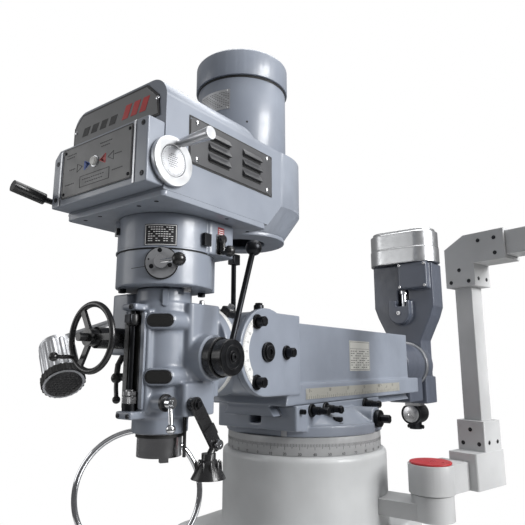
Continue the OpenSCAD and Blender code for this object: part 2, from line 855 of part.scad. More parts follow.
module belt_housing() {
  z1 = housing_z + housing_h;
  r_back = housing_half_w + 3;
  color([0.55, 0.58, 0.63]) at_nose() difference() {
    housing_solid(housing_half_w, -145, housing_z, z1, r_back);
    translate([0, 0, -eps]) housing_solid(housing_half_w - 9, -136, housing_z, z1 - 10, r_back - 9);
    // opening for the motor shaft
    rod_z([0, motor_y, z1 - 80], 60, 100);
    // shafts of the speed crank and of the brake lever
    rod_x([100, crank_y, speed_z], 10 + run_gap, 80);
    rod_x([-160, -100, 506], 8 + run_gap, 60);
  }
}

module name_plate() {
  color([0.5, 0.51, 0.52]) at_nose() front_profile([[-142, 632], [-142.5, 679], [-115, 704], [93, 704.5],
    [125, 675], [130, 632]], -147, 2);
}

module speed_box() {
  w = housing_half_w;
  color([0.55, 0.58, 0.63]) at_nose()
    front_profile([[-w - 1, 490], [w - 1, 490], [w - 1, 613], [-w + 16, 613], [-w - 1, 596]], -185, 40);
}

module speed_plate() {
  color([0.5, 0.51, 0.52]) at_nose() block([-108, -188, 503], [106, -185, 606]);
}

module louvre_plates() {
  color([0.4, 0.41, 0.42]) at_nose() for (s = [-1, 1]) {
    mirror([s > 0 ? 0 : 1, 0, 0]) {
      translate([housing_half_w, 0, 0]) rotate([90, 0, 90]) linear_extrude(2.5)
        translate([-83, 557]) rounded(263, 91, 9);
      for (y = [-33, 74]) {
        for (z = [576, 599, 622]) {
          translate([housing_half_w + 2, y, z]) rotate([-90, 0, 0])
            linear_extrude(64) polygon([[0, 0], [9, 0], [0, -15]]);
        }
      }
    }
  }
}

module speed_crank() {
  x = housing_half_w + 1;
  color([0.82, 0.83, 0.84]) at_nose() {
    rod_x([110, crank_y, speed_z], 10, 45);
    difference() {
      rod_x([x, crank_y, speed_z], 47, 10);
      rod_x([x + 6, crank_y, speed_z], 30, 10);
    }
    rod_x([x + 10 - eps, crank_y + 10, speed_z + 36], 6, 8);
    translate([x + 18 - 2 * eps, crank_y + 10, speed_z + 36]) rotate([0, 90, 0])
      cylinder(h = 73, r1 = 8, r2 = 12);
  }
}

module brake_lever() {
  x = -housing_half_w - 14;
  color([0.1, 0.1, 0.11]) at_nose() {
    rod_x([-housing_half_w - 16, -100, 506], 8, 50);
    rod_x([x - 10, -100, 506], 14, 13);
    strut([x - 4, -104, 506], [x - 8, -192, 515], 6);
    strut([x - 8, -190, 515], [x - 12, -256, 527], 12);
  }
}

module motor_body() {
  color([0.5, 0.53, 0.58]) at_nose() {
    rod_z([0, motor_y, housing_z + housing_h - 34], motor_r, motor_h - housing_h + 34);
    rod_z([0, motor_y, housing_z + 90], 14, 110);
  }
}

module motor_cover() {
  z = housing_z + motor_h;
  r = motor_r + 5.5;
  color([0.5, 0.53, 0.58]) at_nose() {
    rod_z([0, motor_y, z], motor_r - 4, 6);
    rod_z([0, motor_y, z + 5], r, fan_cover_h - 11);
    translate([0, motor_y, z + fan_cover_h - 6 - eps]) cylinder(h = 6, r1 = r, r2 = r - 6);
  }
}

// round tube guard hanging behind the nose
module guard_hoop() {
  color([0.8, 0.81, 0.83]) at_nose() {
    translate([-80, 19.7, -87]) rotate([90, 0, guard_heading]) rotate_extrude(angle = 360)
      translate([127, 0]) circle(5.8);
    at_guard() {
      rod_x([-11.5, 0, guard_z], 8, 23);
      rod_x([-20, 0, guard_z], 3, 40);
      block([-8, -3, 28], [8, 3, guard_z]);
    }
  }
}

module led_lamp() {
  p = [-192, -100, 142];
  a = [-0.668, 0.204, 0.716];
  q = p + a * 105;
  color([0.8, 0.81, 0.83]) at_nose() {
    strut(p, q, 37);
    strut(p - a * 8, p + a * 3, 42);
    strut(q - a, q + a * 24, 9);
    strut(q + a * 18, [-128, 12, 284], 7);
    rod_x([-130, 12, 284], 14, 26 - pass_gap);
  }
}

module work_lamp() {
  color([0.1, 0.1, 0.11]) at_nose() {
    rod_x([84 + pass_gap, 2, 102], 13, 10);
    // flat strap down to the lower pivot
    translate([94, 0, 0]) rotate([90, 0, 90]) linear_extrude(6) {
      translate([2, 102]) circle(14);
      translate([58, 23]) circle(14);
      translate([2, 102]) rotate([0, 0, atan2(-79, 56)]) translate([0, -14]) square([norm([56, 79]), 28]);
    }
    rod_x([90, 58, 23], 9, 20);
    strut([97, 56, 21], [97, 42, 3], 7);
    rod_z([97, 40, -4], 14, 12);
    translate([97, 40, -38]) cylinder(h = 34 + eps, r1 = 34, r2 = 16);
  }
}

// ---------------------------------------------------------------- pendant

module pendant_base() {
  z = pendant_z - 60;
  color([0.72, 0.73, 0.74]) difference() {
    union() {
      block([150, pendant_y - 45, z], [pendant_x, pendant_y + 45, z + 38], 4);
      rod_z([pendant_x, pendant_y, z], 50, 58 - run_gap);
      rod_z([pendant_x, pendant_y, z + 54], 20, 40);
    }
    // seat on the round top of the column
    rod_z([0, 0, z - 20], column_top_r, 100);
  }
}

module at_pendant() {
  translate([pendant_x, pendant_y, pendant_z]) rotate([0, 0, -15]) children();
}

module at_post() {
  at_pendant() translate([post_x, post_y, 0]) children();
}

// link and foot socket that turn on the pendant base
module pendant_arm() {
  color([0.7, 0.71, 0.72]) at_pendant() difference() {
    union() {
      rod_z([0, 0, 0], 54, 66);
      block([-30, 0, 0], [48, 92, 66], 4);
      block([post_x - 39, 88, 0], [post_x + 39, post_y + 48, 86], 6);
      block([post_x - 38, post_y - 40, 85], [post_x + 38, post_y + 40, 160], 4);
    }
    rod_z([0, 0, -1], 20 + run_gap, 40);
    translate([post_x, post_y, 0]) block([-post_w / 2, -post_w / 2, 60], [post_w / 2, post_w / 2, 161], 3);
  }
}

module pendant_cap() {
  color([0.75, 0.15, 0.17]) at_pendant() rod_z([0, 0, 66], 50, 5);
}

module pendant_post() {
  color([0.75, 0.76, 0.77]) at_post()
    block([-post_w / 2, -post_w / 2, 60], [post_w / 2, post_w / 2, 60 + post_h], 3);
}

module pendant_elbow() {
  z = 60 + post_h;
  color([0.68, 0.69, 0.7]) at_post() difference() {
    translate([0, 38, 0]) rotate([90, 0, 0]) linear_extrude(76) polygon([[-42, z - 78], [44, z - 78],
      [44, z - 18], [130, z - 18], [130, z + 62], [17, z + 62], [-42, z + 30]]);
    block([-post_w / 2, -post_w / 2, z - 90], [post_w / 2, post_w / 2, z], 3);
    block([60, -30, z - 8], [140, 30, z + 55], 3);
  }
}

module pendant_tube() {
  z = 60 + post_h;
  color([0.75, 0.76, 0.77]) at_post() block([60, -30, z - 8], [60 + pendant_reach, 30, z + 55], 3);
}

module pendant_box() {
  z = 60 + post_h;
  x = 60 + pendant_reach;
  color([0.72, 0.73, 0.74]) at_post() difference() {
    union() {
      block([x - 70, -60, z - 260], [x + 190, 30, z - 40], 8);
      block([x - 62, -30, z - 60], [x - 4, 30, z - 8], 6);
    }
    // recessed face of the panel
    block([x - 55, -61, z - 245], [x + 175, -57, z - 55]);
  }
}

// ---------------------------------------------------------------- drawing

base();
column();
turret_ring();
column_door();
knee();
knee_screw();
knee_crank();
saddle();
cross_feed();
table();
table_feed();
turret();
ram_clamps();
ram_pinion();
ram();
ram_scale();
tilt_scale();
tilt_bolts();
slot_knuckle();
slot_ring();
slot_body();
slot_cover();
slot_ram();
slot_tool_head();
knuckle();
knuckle_rod();
quill_housing();
gear_case();
data_plate();
selector_plate();
selector_crank();
range_lever();
housing_base();
belt_housing();
name_plate();
speed_box();
speed_plate();
louvre_plates();
speed_crank();
brake_lever();
motor_body();
motor_cover();
quill();
quill_stop();
spindle();
depth_stop();
depth_scale();
feed_hub();
fine_wheel();
quill_lock();
guard_hoop();
led_lamp();
work_lamp();
pendant_base();
pendant_arm();
pendant_cap();
pendant_post();
pendant_elbow();
pendant_tube();
pendant_box();
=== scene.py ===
"""Looks of a turret milling machine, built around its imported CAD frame.

Metres, +Z up, +X to the operator's right, +Y from the operator to the rear.
Lengths inside calls to at() and mm() are millimetres from the spindle nose.
"""

import json
import math
import random

import bmesh
import bpy
from mathutils import Matrix, Vector


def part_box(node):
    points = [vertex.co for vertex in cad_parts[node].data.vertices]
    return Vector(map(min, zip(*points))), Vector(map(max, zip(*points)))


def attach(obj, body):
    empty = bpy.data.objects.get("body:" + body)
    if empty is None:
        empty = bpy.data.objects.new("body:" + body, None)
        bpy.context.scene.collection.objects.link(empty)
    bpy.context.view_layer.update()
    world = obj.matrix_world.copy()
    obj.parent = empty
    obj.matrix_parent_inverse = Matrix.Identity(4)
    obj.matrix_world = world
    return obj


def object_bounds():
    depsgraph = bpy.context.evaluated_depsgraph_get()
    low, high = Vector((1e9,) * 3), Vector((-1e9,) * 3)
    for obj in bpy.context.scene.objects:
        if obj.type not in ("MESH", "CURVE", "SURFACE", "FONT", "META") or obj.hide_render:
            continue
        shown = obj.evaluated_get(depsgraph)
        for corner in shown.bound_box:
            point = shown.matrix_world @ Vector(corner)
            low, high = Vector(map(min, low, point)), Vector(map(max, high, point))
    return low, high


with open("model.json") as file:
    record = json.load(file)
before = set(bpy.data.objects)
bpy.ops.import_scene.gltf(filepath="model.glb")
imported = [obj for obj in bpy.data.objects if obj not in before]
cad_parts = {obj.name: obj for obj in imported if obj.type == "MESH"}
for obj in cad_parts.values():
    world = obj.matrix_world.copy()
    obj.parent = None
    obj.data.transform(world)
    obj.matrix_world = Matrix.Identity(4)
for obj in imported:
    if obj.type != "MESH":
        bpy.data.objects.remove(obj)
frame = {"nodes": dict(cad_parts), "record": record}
cad_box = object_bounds()
nodes = frame["nodes"]
random.seed(11)

MM = 0.001
X, Y, Z = Vector((1, 0, 0)), Vector((0, 1, 0)), Vector((0, 0, 1))


def centre(node):
    lo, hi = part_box(node)
    return (lo + hi) / 2


MOUNTS = {mount["name"]: mount for mount in frame["record"]["mounts"]}
NOSE_ABOVE_MOUNT = -0.018
NOSE = Vector(MOUNTS["spindle_nose"]["pos_m"]) + Vector((0, 0, NOSE_ABOVE_MOUNT))


def mm(x, y, z):
    return Vector((x, y, z)) * MM


def at(x, y, z):
    """A point given in millimetres from the centre of the spindle nose."""
    return NOSE + mm(x, y, z)


# ------------------------------------------------------------------ camera

def look_along(obj, position, direction, up):
    """Places a camera or lamp and points its -Z along direction."""
    back = -direction.normalized()
    right = up.cross(back).normalized()
    true_up = back.cross(right)
    rotation = Matrix((right, true_up, back)).transposed()
    obj.matrix_world = Matrix.Translation(position) @ rotation.to_4x4()


camera_data = bpy.data.cameras.new("camera")
camera_data.sensor_width = 36
camera_data.lens = 35.93
camera_data.clip_start = 0.05
camera_data.clip_end = 60
camera = bpy.data.objects.new("camera", camera_data)
bpy.context.scene.collection.objects.link(camera)
CAMERA_FROM_NOSE = mm(824.1, -751.3, 177.5)
look_along(camera, NOSE + CAMERA_FROM_NOSE, Vector((-0.5908, 0.7840, 0.1908)), Z)
bpy.context.scene.camera = camera

# --------------------------------------------------------------- materials

class Finish:
    """A material built from nodes. Object coordinates are metres in the CAD frame."""

    def __init__(self, name, metallic=0.0, coat=0.0):
        self.material = bpy.data.materials.new(name)
        self.material.use_nodes = True
        self.tree = self.material.node_tree
        self.tree.nodes.clear()
        output = self.tree.nodes.new("ShaderNodeOutputMaterial")
        self.shader = self.tree.nodes.new("ShaderNodeBsdfPrincipled")
        self.tree.links.new(self.shader.outputs[0], output.inputs[0])
        self.shader.inputs["Metallic"].default_value = metallic
        self.shader.inputs["Coat Weight"].default_value = coat
        self.shader.inputs["Coat Roughness"].default_value = 0.15
        self.coordinates = self.tree.nodes.new("ShaderNodeTexCoord").outputs["Object"]
        self.normal = None

    def link(self, source, node, socket):
        self.tree.links.new(source, node.inputs[socket])

    def noise(self, scale, detail=2.0, stretch=None):
        """Grey noise with scale cycles per metre, drawn out where stretch is below 1."""
        source = self.coordinates
        if stretch:
            mapping = self.tree.nodes.new("ShaderNodeMapping")
            mapping.inputs["Scale"].default_value = stretch
            self.link(source, mapping, "Vector")
            source = mapping.outputs[0]
        node = self.tree.nodes.new("ShaderNodeTexNoise")
        node.inputs["Scale"].default_value = scale
        node.inputs["Detail"].default_value = detail
        self.link(source, node, "Vector")
        return node.outputs["Fac"]

    def remap(self, source, lo, hi, to_lo=0.0, to_hi=1.0):
        node = self.tree.nodes.new("ShaderNodeMapRange")
        for socket, value in zip(("From Min", "From Max", "To Min", "To Max"), (lo, hi, to_lo, to_hi)):
            node.inputs[socket].default_value = value
        self.link(source, node, "Value")
        return node.outputs[0]

    def math(self, operation, a, b):
        node = self.tree.nodes.new("ShaderNodeMath")
        node.operation = operation
        for socket, value in enumerate((a, b)):
            if isinstance(value, (int, float)):
                node.inputs[socket].default_value = value
            else:
                self.link(value, node, socket)
        return node.outputs[0]

    def mix(self, fac, a, b):
        """Colour a where fac is 0 and b where it is 1; either may be a colour or a socket."""
        node = self.tree.nodes.new("ShaderNodeMix")
        node.data_type = "RGBA"
        for socket, value in ((6, a), (7, b)):
            if isinstance(value, tuple):
                node.inputs[socket].default_value = (*value, 1)
            else:
                self.link(value, node, socket)
        self.link(fac, node, 0)
        return node.outputs[2]

    def bump(self, height, distance, strength=1.0):
        node = self.tree.nodes.new("ShaderNodeBump")
        node.inputs["Distance"].default_value = distance
        node.inputs["Strength"].default_value = strength
        self.link(height, node, "Height")
        if self.normal:
            self.link(self.normal, node, "Normal")
        self.normal = node.outputs[0]

    def edges(self, radius):
        """1 on sharp edges and 0 on flats."""
        bevel = self.tree.nodes.new("ShaderNodeBevel")
        bevel.samples = 4
        bevel.inputs["Radius"].default_value = radius
        geometry = self.tree.nodes.new("ShaderNodeNewGeometry")
        dot = self.tree.nodes.new("ShaderNodeVectorMath")
        dot.operation = "DOT_PRODUCT"
        self.link(bevel.outputs[0], dot, 0)
        self.link(geometry.outputs["Normal"], dot, 1)
        return self.remap(dot.outputs["Value"], 0.985, 0.86)

    def crevices(self, distance):
        """Ambient-occlusion mask for painted shade: 1 in corners between surfaces and 0 in the open."""
        node = self.tree.nodes.new("ShaderNodeAmbientOcclusion")
        node.samples = 4
        node.inputs["Distance"].default_value = distance
        return self.remap(node.outputs["AO"], 0.85, 0.25)

    def done(self, colour, roughness):
        self.link(colour, self.shader, "Base Color")
        self.link(roughness, self.shader, "Roughness")
        if self.normal:
            self.link(self.normal, self.shader, "Normal")
        return self.material


def painted(name, colour, roughness=0.4, cast=0.35, coat=0.2, crevice_shade_amount=0.35):
    """Sprayed machine paint over cast iron or sheet, darkened in its corners as painted shade."""
    f = Finish(name, coat=coat)
    tone = f.noise(7, 3)
    lighter = tuple(min(1, c * 1.07) for c in colour)
    darker = tuple(c * 0.92 for c in colour)
    base = f.mix(f.remap(tone, 0.35, 0.65), darker, lighter)
    speck = f.remap(f.noise(420, 1), 0.66, 0.74, 0, 0.25)
    base = f.mix(speck, base, darker)
    # Painted shade: ambient occlusion darkens the paint towards near-black in corners and between parts.
    crevice_shade = f.math("MULTIPLY", f.crevices(0.010), crevice_shade_amount)
    base = f.mix(crevice_shade, base, tuple(c * 0.28 for c in colour))
    worn = f.math("MULTIPLY", f.edges(0.0012), f.remap(f.noise(90, 2), 0.42, 0.68, 0, 0.6))
    base = f.mix(worn, base, tuple(min(1, c * 1.5 + 0.06) for c in colour))
    f.bump(f.noise(38, 3), 0.0006, cast)
    f.bump(f.noise(520, 2), 0.00012, 0.45)
    return f.done(base, f.remap(f.noise(30, 3), 0.3, 0.7, roughness - 0.07, roughness + 0.09))


def metal(name, colour, roughness, grain=None, scratch=0.0, spread=0.07, edge=0.0):
    """Bare metal; grain is the stretch of its machining marks."""
    f = Finish(name, metallic=1.0)
    tone = f.noise(25, 3)
    base = f.mix(f.remap(tone, 0.3, 0.7), tuple(c * 0.88 for c in colour), colour)
    # Painted shade: ambient occlusion darkens the metal in corners and between parts.
    base = f.mix(f.math("MULTIPLY", f.crevices(0.006), 0.5), base, tuple(c * 0.2 for c in colour))
    if edge:
        base = f.mix(f.math("MULTIPLY", f.edges(0.0008), edge), base, (0.6, 0.6, 0.6))
    rough = f.remap(f.noise(60, 4), 0.3, 0.7, max(0.03, roughness - spread), roughness + spread)
    if grain:
        marks = f.noise(1, 3, grain)
        f.bump(marks, 0.00002, 0.35)
        rough = f.math("ADD", rough, f.remap(marks, 0.3, 0.7, -0.05, 0.08))
    if scratch:
        f.bump(f.noise(160, 3, (1, 0.1, 0.3)), 0.00003, scratch)
    return f.done(base, rough)


def moulded(name, colour, roughness=0.35, grain=700, depth=0.00004):
    """Moulded plastic or rubber."""
    f = Finish(name)
    base = f.mix(f.remap(f.noise(20, 3), 0.3, 0.7), tuple(c * 0.85 for c in colour), colour)
    base = f.mix(f.math("MULTIPLY", f.edges(0.0007), 0.35), base, tuple(min(1, c * 1.6 + 0.03) for c in colour))
    f.bump(f.noise(grain, 2), depth, 0.7)
    return f.done(base, f.remap(f.noise(45, 3), 0.3, 0.7, roughness - 0.06, roughness + 0.1))


def printed(name, colour, roughness=0.4, metallic=0.0):
    """Printed or anodised sheet with a faint rolled grain."""
    f = Finish(name, metallic=metallic)
    base = f.mix(f.remap(f.noise(14, 4), 0.3, 0.7), tuple(c * 0.9 for c in colour), colour)
    base = f.mix(f.remap(f.noise(1, 2, (60, 60, 1500)), 0.55, 0.75, 0, 0.12), base, tuple(c * 0.7 for c in colour))
    f.bump(f.noise(600, 1), 0.00003, 0.4)
    return f.done(base, f.remap(f.noise(40, 3), 0.3, 0.7, roughness - 0.05, roughness + 0.08))


PAINT = painted("paint_light_blue_grey", (0.205, 0.228, 0.272), 0.38)
PAINT_HOUSING = painted("paint_housing", (0.225, 0.248, 0.292), 0.36, cast=0.12, crevice_shade_amount=0.2)
PAINT_DARK = painted("paint_dark_blue_grey", (0.070, 0.080, 0.105), 0.36)
PAINT_PALE = painted("paint_pale_grey", (0.52, 0.53, 0.535), 0.42, crevice_shade_amount=0.25)
PAINT_PENDANT = painted("powder_coat_pendant", (0.47, 0.475, 0.48), 0.45, cast=0.08, crevice_shade_amount=0.25)
STEEL = metal("ground_steel", (0.60, 0.60, 0.61), 0.30, grain=(900, 40, 900))
TURNED = metal("turned_steel", (0.62, 0.62, 0.63), 0.24, grain=(60, 60, 1800))
IRON = metal("scraped_iron", (0.40, 0.40, 0.41), 0.36, grain=(700, 90, 90))
CHROME = metal("chrome", (0.70, 0.71, 0.73), 0.14, spread=0.03)
ALLOY = metal("brushed_alloy", (0.56, 0.57, 0.59), 0.38, grain=(70, 70, 1500))
ALLOY_CAST = metal("polished_alloy", (0.60, 0.61, 0.62), 0.34, spread=0.05)
NOSE_STEEL = metal("polished_nose", (0.55, 0.55, 0.56), 0.17, spread=0.03)
RING_GREY = printed("ring_grey", (0.36, 0.365, 0.37), 0.38)
DARK_RED = printed("dark_red", (0.26, 0.015, 0.02), 0.4)
OXIDE = metal("black_oxide", (0.030, 0.031, 0.034), 0.38, edge=0.25)
BLACK = moulded("black_moulding", (0.014, 0.014, 0.015), 0.26)
RUBBER = moulded("black_rubber", (0.012, 0.012, 0.012), 0.62, grain=400, depth=0.0001)
RED = moulded("red_plastic", (0.50, 0.030, 0.035), 0.30)
WHITE = moulded("white_plastic", (0.62, 0.62, 0.60), 0.35)
PLATE = printed("grey_plate", (0.175, 0.177, 0.180), 0.42)
PLATE_DARK = printed("dark_plate", (0.055, 0.056, 0.060), 0.45)
PLATE_BLACK = printed("black_plate", (0.012, 0.012, 0.013), 0.35)
PLATE_PALE = printed("pale_plate", (0.50, 0.50, 0.47), 0.40)
SCALE_WHITE = printed("white_scale", (0.66, 0.66, 0.65), 0.38)
SCALE_STEEL = printed("steel_scale", (0.52, 0.51, 0.46), 0.32, metallic=0.5)
INK = printed("black_ink", (0.010, 0.010, 0.011), 0.5)
INK_WHITE = printed("white_ink", (0.72, 0.72, 0.72), 0.45)
INK_BLUE = printed("blue_ink", (0.03, 0.10, 0.42), 0.4)
INK_RED = printed("red_ink", (0.50, 0.02, 0.02), 0.4)
# Near-black that stands in as painted shade inside holes, slots, grooves, gaps, the turret notch and the stop channel,
# and as a painted shadow ring behind the speed dial; it also draws the dark seam lines, the index line and the pendant
# window.
BLACK_AND_HOLLOW_SHADE = moulded("black_and_painted_hollow_shade", (0.004, 0.004, 0.004), 0.7)

NODE_FINISH = {
    PAINT: "knee saddle turret ram knuckle quill_housing gear_case motor_body motor_cover",
    PAINT_HOUSING: "housing_base belt_housing speed_box",
    PAINT_DARK: "slot_knuckle slot_body",
    PAINT_PALE: "base column column_door",
    RING_GREY: "turret_ring",
    PAINT_PENDANT: "pendant_base pendant_arm pendant_post pendant_elbow pendant_tube pendant_box",
    IRON: "table",
    STEEL: "knee_screw slot_ram",
    NOSE_STEEL: "spindle",
    TURNED: "quill table_feed cross_feed",
    CHROME: "quill_lock guard_hoop selector_crank",
    ALLOY: "speed_crank selector_plate led_lamp slot_ring",
    ALLOY_CAST: "slot_cover",
    OXIDE: "knee_crank ram_clamps ram_pinion tilt_bolts knuckle_rod feed_hub slot_tool_head quill_stop depth_stop",
    BLACK: "range_lever brake_lever fine_wheel work_lamp",
    PLATE: "name_plate speed_plate",
    PLATE_DARK: "louvre_plates",
    PLATE_BLACK: "data_plate depth_scale",
    SCALE_WHITE: "tilt_scale",
    SCALE_STEEL: "ram_scale",
    RED: "pendant_cap",
}
for finish, names in NODE_FINISH.items():
    for name in names.split():
        nodes[name].data.materials.clear()
        nodes[name].data.materials.append(finish)


# ------------------------------------------------------- castings and edges

def smooth_by_angle(obj, degrees=38):
    """Shades a mesh smooth and keeps edges sharper than the angle crisp."""
    mesh = obj.data
    mesh.polygons.foreach_set("use_smooth", [True] * len(mesh.polygons))
    mesh.set_sharp_from_angle(angle=math.radians(degrees))


def as_casting(name, voxel, passes):
    """Rounds edges and blends inner corners of a CAD node, as sand casting does."""
    obj = nodes[name]
    remesh = obj.modifiers.new("skin", "REMESH")
    remesh.mode = "VOXEL"
    remesh.voxel_size = voxel
    remesh.use_smooth_shade = True
    smooth = obj.modifiers.new("fillets", "SMOOTH")
    smooth.factor = 0.5
    smooth.iterations = passes


def as_machined(name, width=0.001, segments=2, angle=32):
    """Small even chamfers on the sharp edges of a CAD node."""
    obj = nodes[name]
    weld = obj.modifiers.new("weld", "WELD")
    weld.merge_threshold = 0.00002
    flat = obj.modifiers.new("flat", "DECIMATE")
    flat.decimate_type = "DISSOLVE"
    flat.angle_limit = math.radians(0.6)
    bevel = obj.modifiers.new("bevel", "BEVEL")
    bevel.width = width
    bevel.segments = segments
    bevel.limit_method = "ANGLE"
    bevel.angle_limit = math.radians(angle)
    bevel.use_clamp_overlap = True
    bevel.harden_normals = True


CASTINGS = {"quill_housing": (0.0022, 16), "knuckle": (0.0025, 6), "slot_body": (0.0025, 8),
            "slot_knuckle": (0.0025, 6), "ram": (0.0026, 5), "turret": (0.0026, 5),
            "gear_case": (0.0018, 3), "slot_cover": (0.0022, 4), "base": (0.005, 8),
            "column": (0.0045, 6), "knee": (0.004, 6), "saddle": (0.003, 4)}
for name, (voxel, passes) in CASTINGS.items():
    as_casting(name, voxel, passes)

# ---------------------------------------------------------- detail meshes

class Piece:
    """A mesh drawn in millimetres inside local frames laid on the machine."""

    def __init__(self, name, finish, body):
        self.name, self.finish, self.body = name, finish, body
        self.bm = bmesh.new()
        self.place((0, 0, 0))

    def place(self, origin, normal=Z, up=None):
        """Moves the drawing frame: local Z is normal, local Y points as far up as it can."""
        z_axis = Vector(normal).normalized()
        up = Vector(up) if up else (Y if abs(z_axis.z) > 0.9 else Z)
        y_axis = (up - z_axis * up.dot(z_axis)).normalized()
        x_axis = y_axis.cross(z_axis)
        turn = Matrix((x_axis, y_axis, z_axis)).transposed().to_4x4()
        self.matrix = Matrix.Translation(at(*origin)) @ turn @ Matrix.Scale(MM, 4)
        return self

    def add(self, points, faces):
        verts = [self.bm.verts.new(self.matrix @ Vector(p)) for p in points]
        for face in faces:
            self.bm.faces.new([verts[i] for i in face])

    def turned(self, profile, sides=40, x=0.0, y=0.0, phase=0.0):
        """Solid of revolution about local Z from (radius, height) pairs, bottom to top."""
        points, faces = [], []
        for radius, height in profile:
            for i in range(sides):
                angle = phase + i * math.tau / sides
                points.append((x + radius * math.cos(angle), y + radius * math.sin(angle), height))
        for k in range(len(profile) - 1):
            for i in range(sides):
                j = (i + 1) % sides
                faces.append((k * sides + i, k * sides + j, (k + 1) * sides + j, (k + 1) * sides + i))
        faces.append(tuple(reversed(range(sides))))
        faces.append(tuple(range((len(profile) - 1) * sides, len(profile) * sides)))
        self.add(points, faces)
        return self

    def ring(self, inner, outer, z0, z1, sides=64, edge=0.3):
        """Flat annulus with small chamfers."""
        profile = [(inner, z0), (outer, z0), (outer, z1 - edge), (outer - edge, z1), (inner + edge, z1),
                   (inner, z1 - edge)]
        points, faces = [], []
        for radius, height in profile:
            for i in range(sides):
                angle = i * math.tau / sides
                points.append((radius * math.cos(angle), radius * math.sin(angle), height))
        count = len(profile)
        for k in range(count):
            for i in range(sides):
                j = (i + 1) % sides
                n = (k + 1) % count
                faces.append((k * sides + i, k * sides + j, n * sides + j, n * sides + i))
        self.add(points, faces)
        return self

    def prism(self, outline, z0, z1, edge=0.0):
        """Straight prism with a chamfered top."""
        cx = sum(p[0] for p in outline) / len(outline)
        cy = sum(p[1] for p in outline) / len(outline)
        levels = [(outline, z0), (outline, z1 - edge)]
        if edge:
            inner = []
            for px, py in outline:
                reach = math.hypot(px - cx, py - cy)
                inner.append((px - (px - cx) / reach * edge, py - (py - cy) / reach * edge))
            levels.append((inner, z1))
        count = len(outline)
        points = [(px, py, height) for level, height in levels for px, py in level]
        faces = [tuple(reversed(range(count)))]
        for k in range(len(levels) - 1):
            for i in range(count):
                j = (i + 1) % count
                faces.append((k * count + i, k * count + j, (k + 1) * count + j, (k + 1) * count + i))
        faces.append(tuple(range((len(levels) - 1) * count, len(levels) * count)))
        self.add(points, faces)
        return self

    def plate(self, x0, y0, x1, y1, z0, z1, radius=1.0, edge=0.15):
        """Rectangular plate with rounded corners."""
        outline = []
        for cx, cy, start in ((x1 - radius, y1 - radius, 0), (x0 + radius, y1 - radius, 90),
                              (x0 + radius, y0 + radius, 180), (x1 - radius, y0 + radius, 270)):
            for step in range(5):
                angle = math.radians(start + step * 22.5)
                outline.append((cx + radius * math.cos(angle), cy + radius * math.sin(angle)))
        return self.prism(outline, z0, z1, edge)

    def ball(self, x, y, z, radius):
        profile = [(radius * math.sin(math.pi * k / 18) + 0.001, z - radius * math.cos(math.pi * k / 18))
                   for k in range(19)]
        return self.turned(profile, 32, x, y)

    def sweep(self, path, radius, sides=10):
        """Round rod through points of the current frame."""
        path = [Vector(p) for p in path]
        points, faces = [], []
        side = None
        for k, p in enumerate(path):
            along = (path[min(k + 1, len(path) - 1)] - path[max(k - 1, 0)]).normalized()
            if side is None:
                side = along.orthogonal().normalized()
            side = (side - along * side.dot(along)).normalized()
            other = along.cross(side)
            for i in range(sides):
                angle = i * math.tau / sides
                points.append(p + (side * math.cos(angle) + other * math.sin(angle)) * radius)
        for k in range(len(path) - 1):
            for i in range(sides):
                j = (i + 1) % sides
                faces.append((k * sides + i, k * sides + j, (k + 1) * sides + j, (k + 1) * sides + i))
        faces.append(tuple(reversed(range(sides))))
        faces.append(tuple(range((len(path) - 1) * sides, len(path) * sides)))
        self.add(points, faces)
        return self

    def socket_screw(self, x, y, z, radius, length):
        """Cap screw with a hexagon socket, head standing on z."""
        self.turned([(radius, z), (radius, z + length * 0.9), (radius * 0.92, z + length), (radius * 0.6, z + length),
                     (radius * 0.55, z + length * 0.45)], 24, x, y)
        return self

    def dome(self, x, y, z, radius):
        """Round-headed rivet or screw."""
        self.turned([(radius, z), (radius, z + radius * 0.15), (radius * 0.88, z + radius * 0.38),
                     (radius * 0.6, z + radius * 0.56), (radius * 0.25, z + radius * 0.63)], 20, x, y)
        return self

    def hexagon(self, x, y, z, across, length):
        """Bolt head with a turned chamfer."""
        corner = across / 2 / math.cos(math.pi / 6)
        self.turned([(corner, z), (corner, z + length * 0.85), (corner * 0.88, z + length)], 6, x, y, math.pi / 6)
        return self

    def number(self, text, height, x, y, z):
        """Raised figures of a scale, lying in the local XY plane."""
        curve = bpy.data.curves.new("figures", "FONT")
        curve.body = text
        curve.size = height
        curve.align_x = "CENTER"
        curve.align_y = "CENTER"
        obj = bpy.data.objects.new("figures", curve)
        bpy.context.scene.collection.objects.link(obj)
        bpy.context.view_layer.update()
        mesh = obj.to_mesh()
        self.add([(v.co.x + x, v.co.y + y, z) for v in mesh.vertices], [tuple(p.vertices) for p in mesh.polygons])
        obj.to_mesh_clear()
        bpy.data.objects.remove(obj)
        bpy.data.curves.remove(curve)
        return self

    def done(self, bevel=0.0, degrees=35):
        mesh = bpy.data.meshes.new(self.name)
        bmesh.ops.recalc_face_normals(self.bm, faces=self.bm.faces)
        self.bm.to_mesh(mesh)
        self.bm.free()
        mesh.materials.append(self.finish)
        obj = bpy.data.objects.new(self.name, mesh)
        bpy.context.scene.collection.objects.link(obj)
        smooth_by_angle(obj, degrees)
        if bevel:
            modifier = obj.modifiers.new("bevel", "BEVEL")
            modifier.width = bevel * MM
            modifier.segments = 2
            modifier.limit_method = "ANGLE"
            modifier.angle_limit = math.radians(35)
        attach(obj, self.body)
        return obj


def radial_mark(piece, angle, inner, outer, half, height):
    """Short bar pointing away from the centre of the local frame."""
    c, s = math.cos(angle), math.sin(angle)
    piece.prism([(c * r + s * w, s * r - c * w) for r, w in
                 ((inner, half), (outer, half), (outer, -half), (inner, -half))], 0, height)


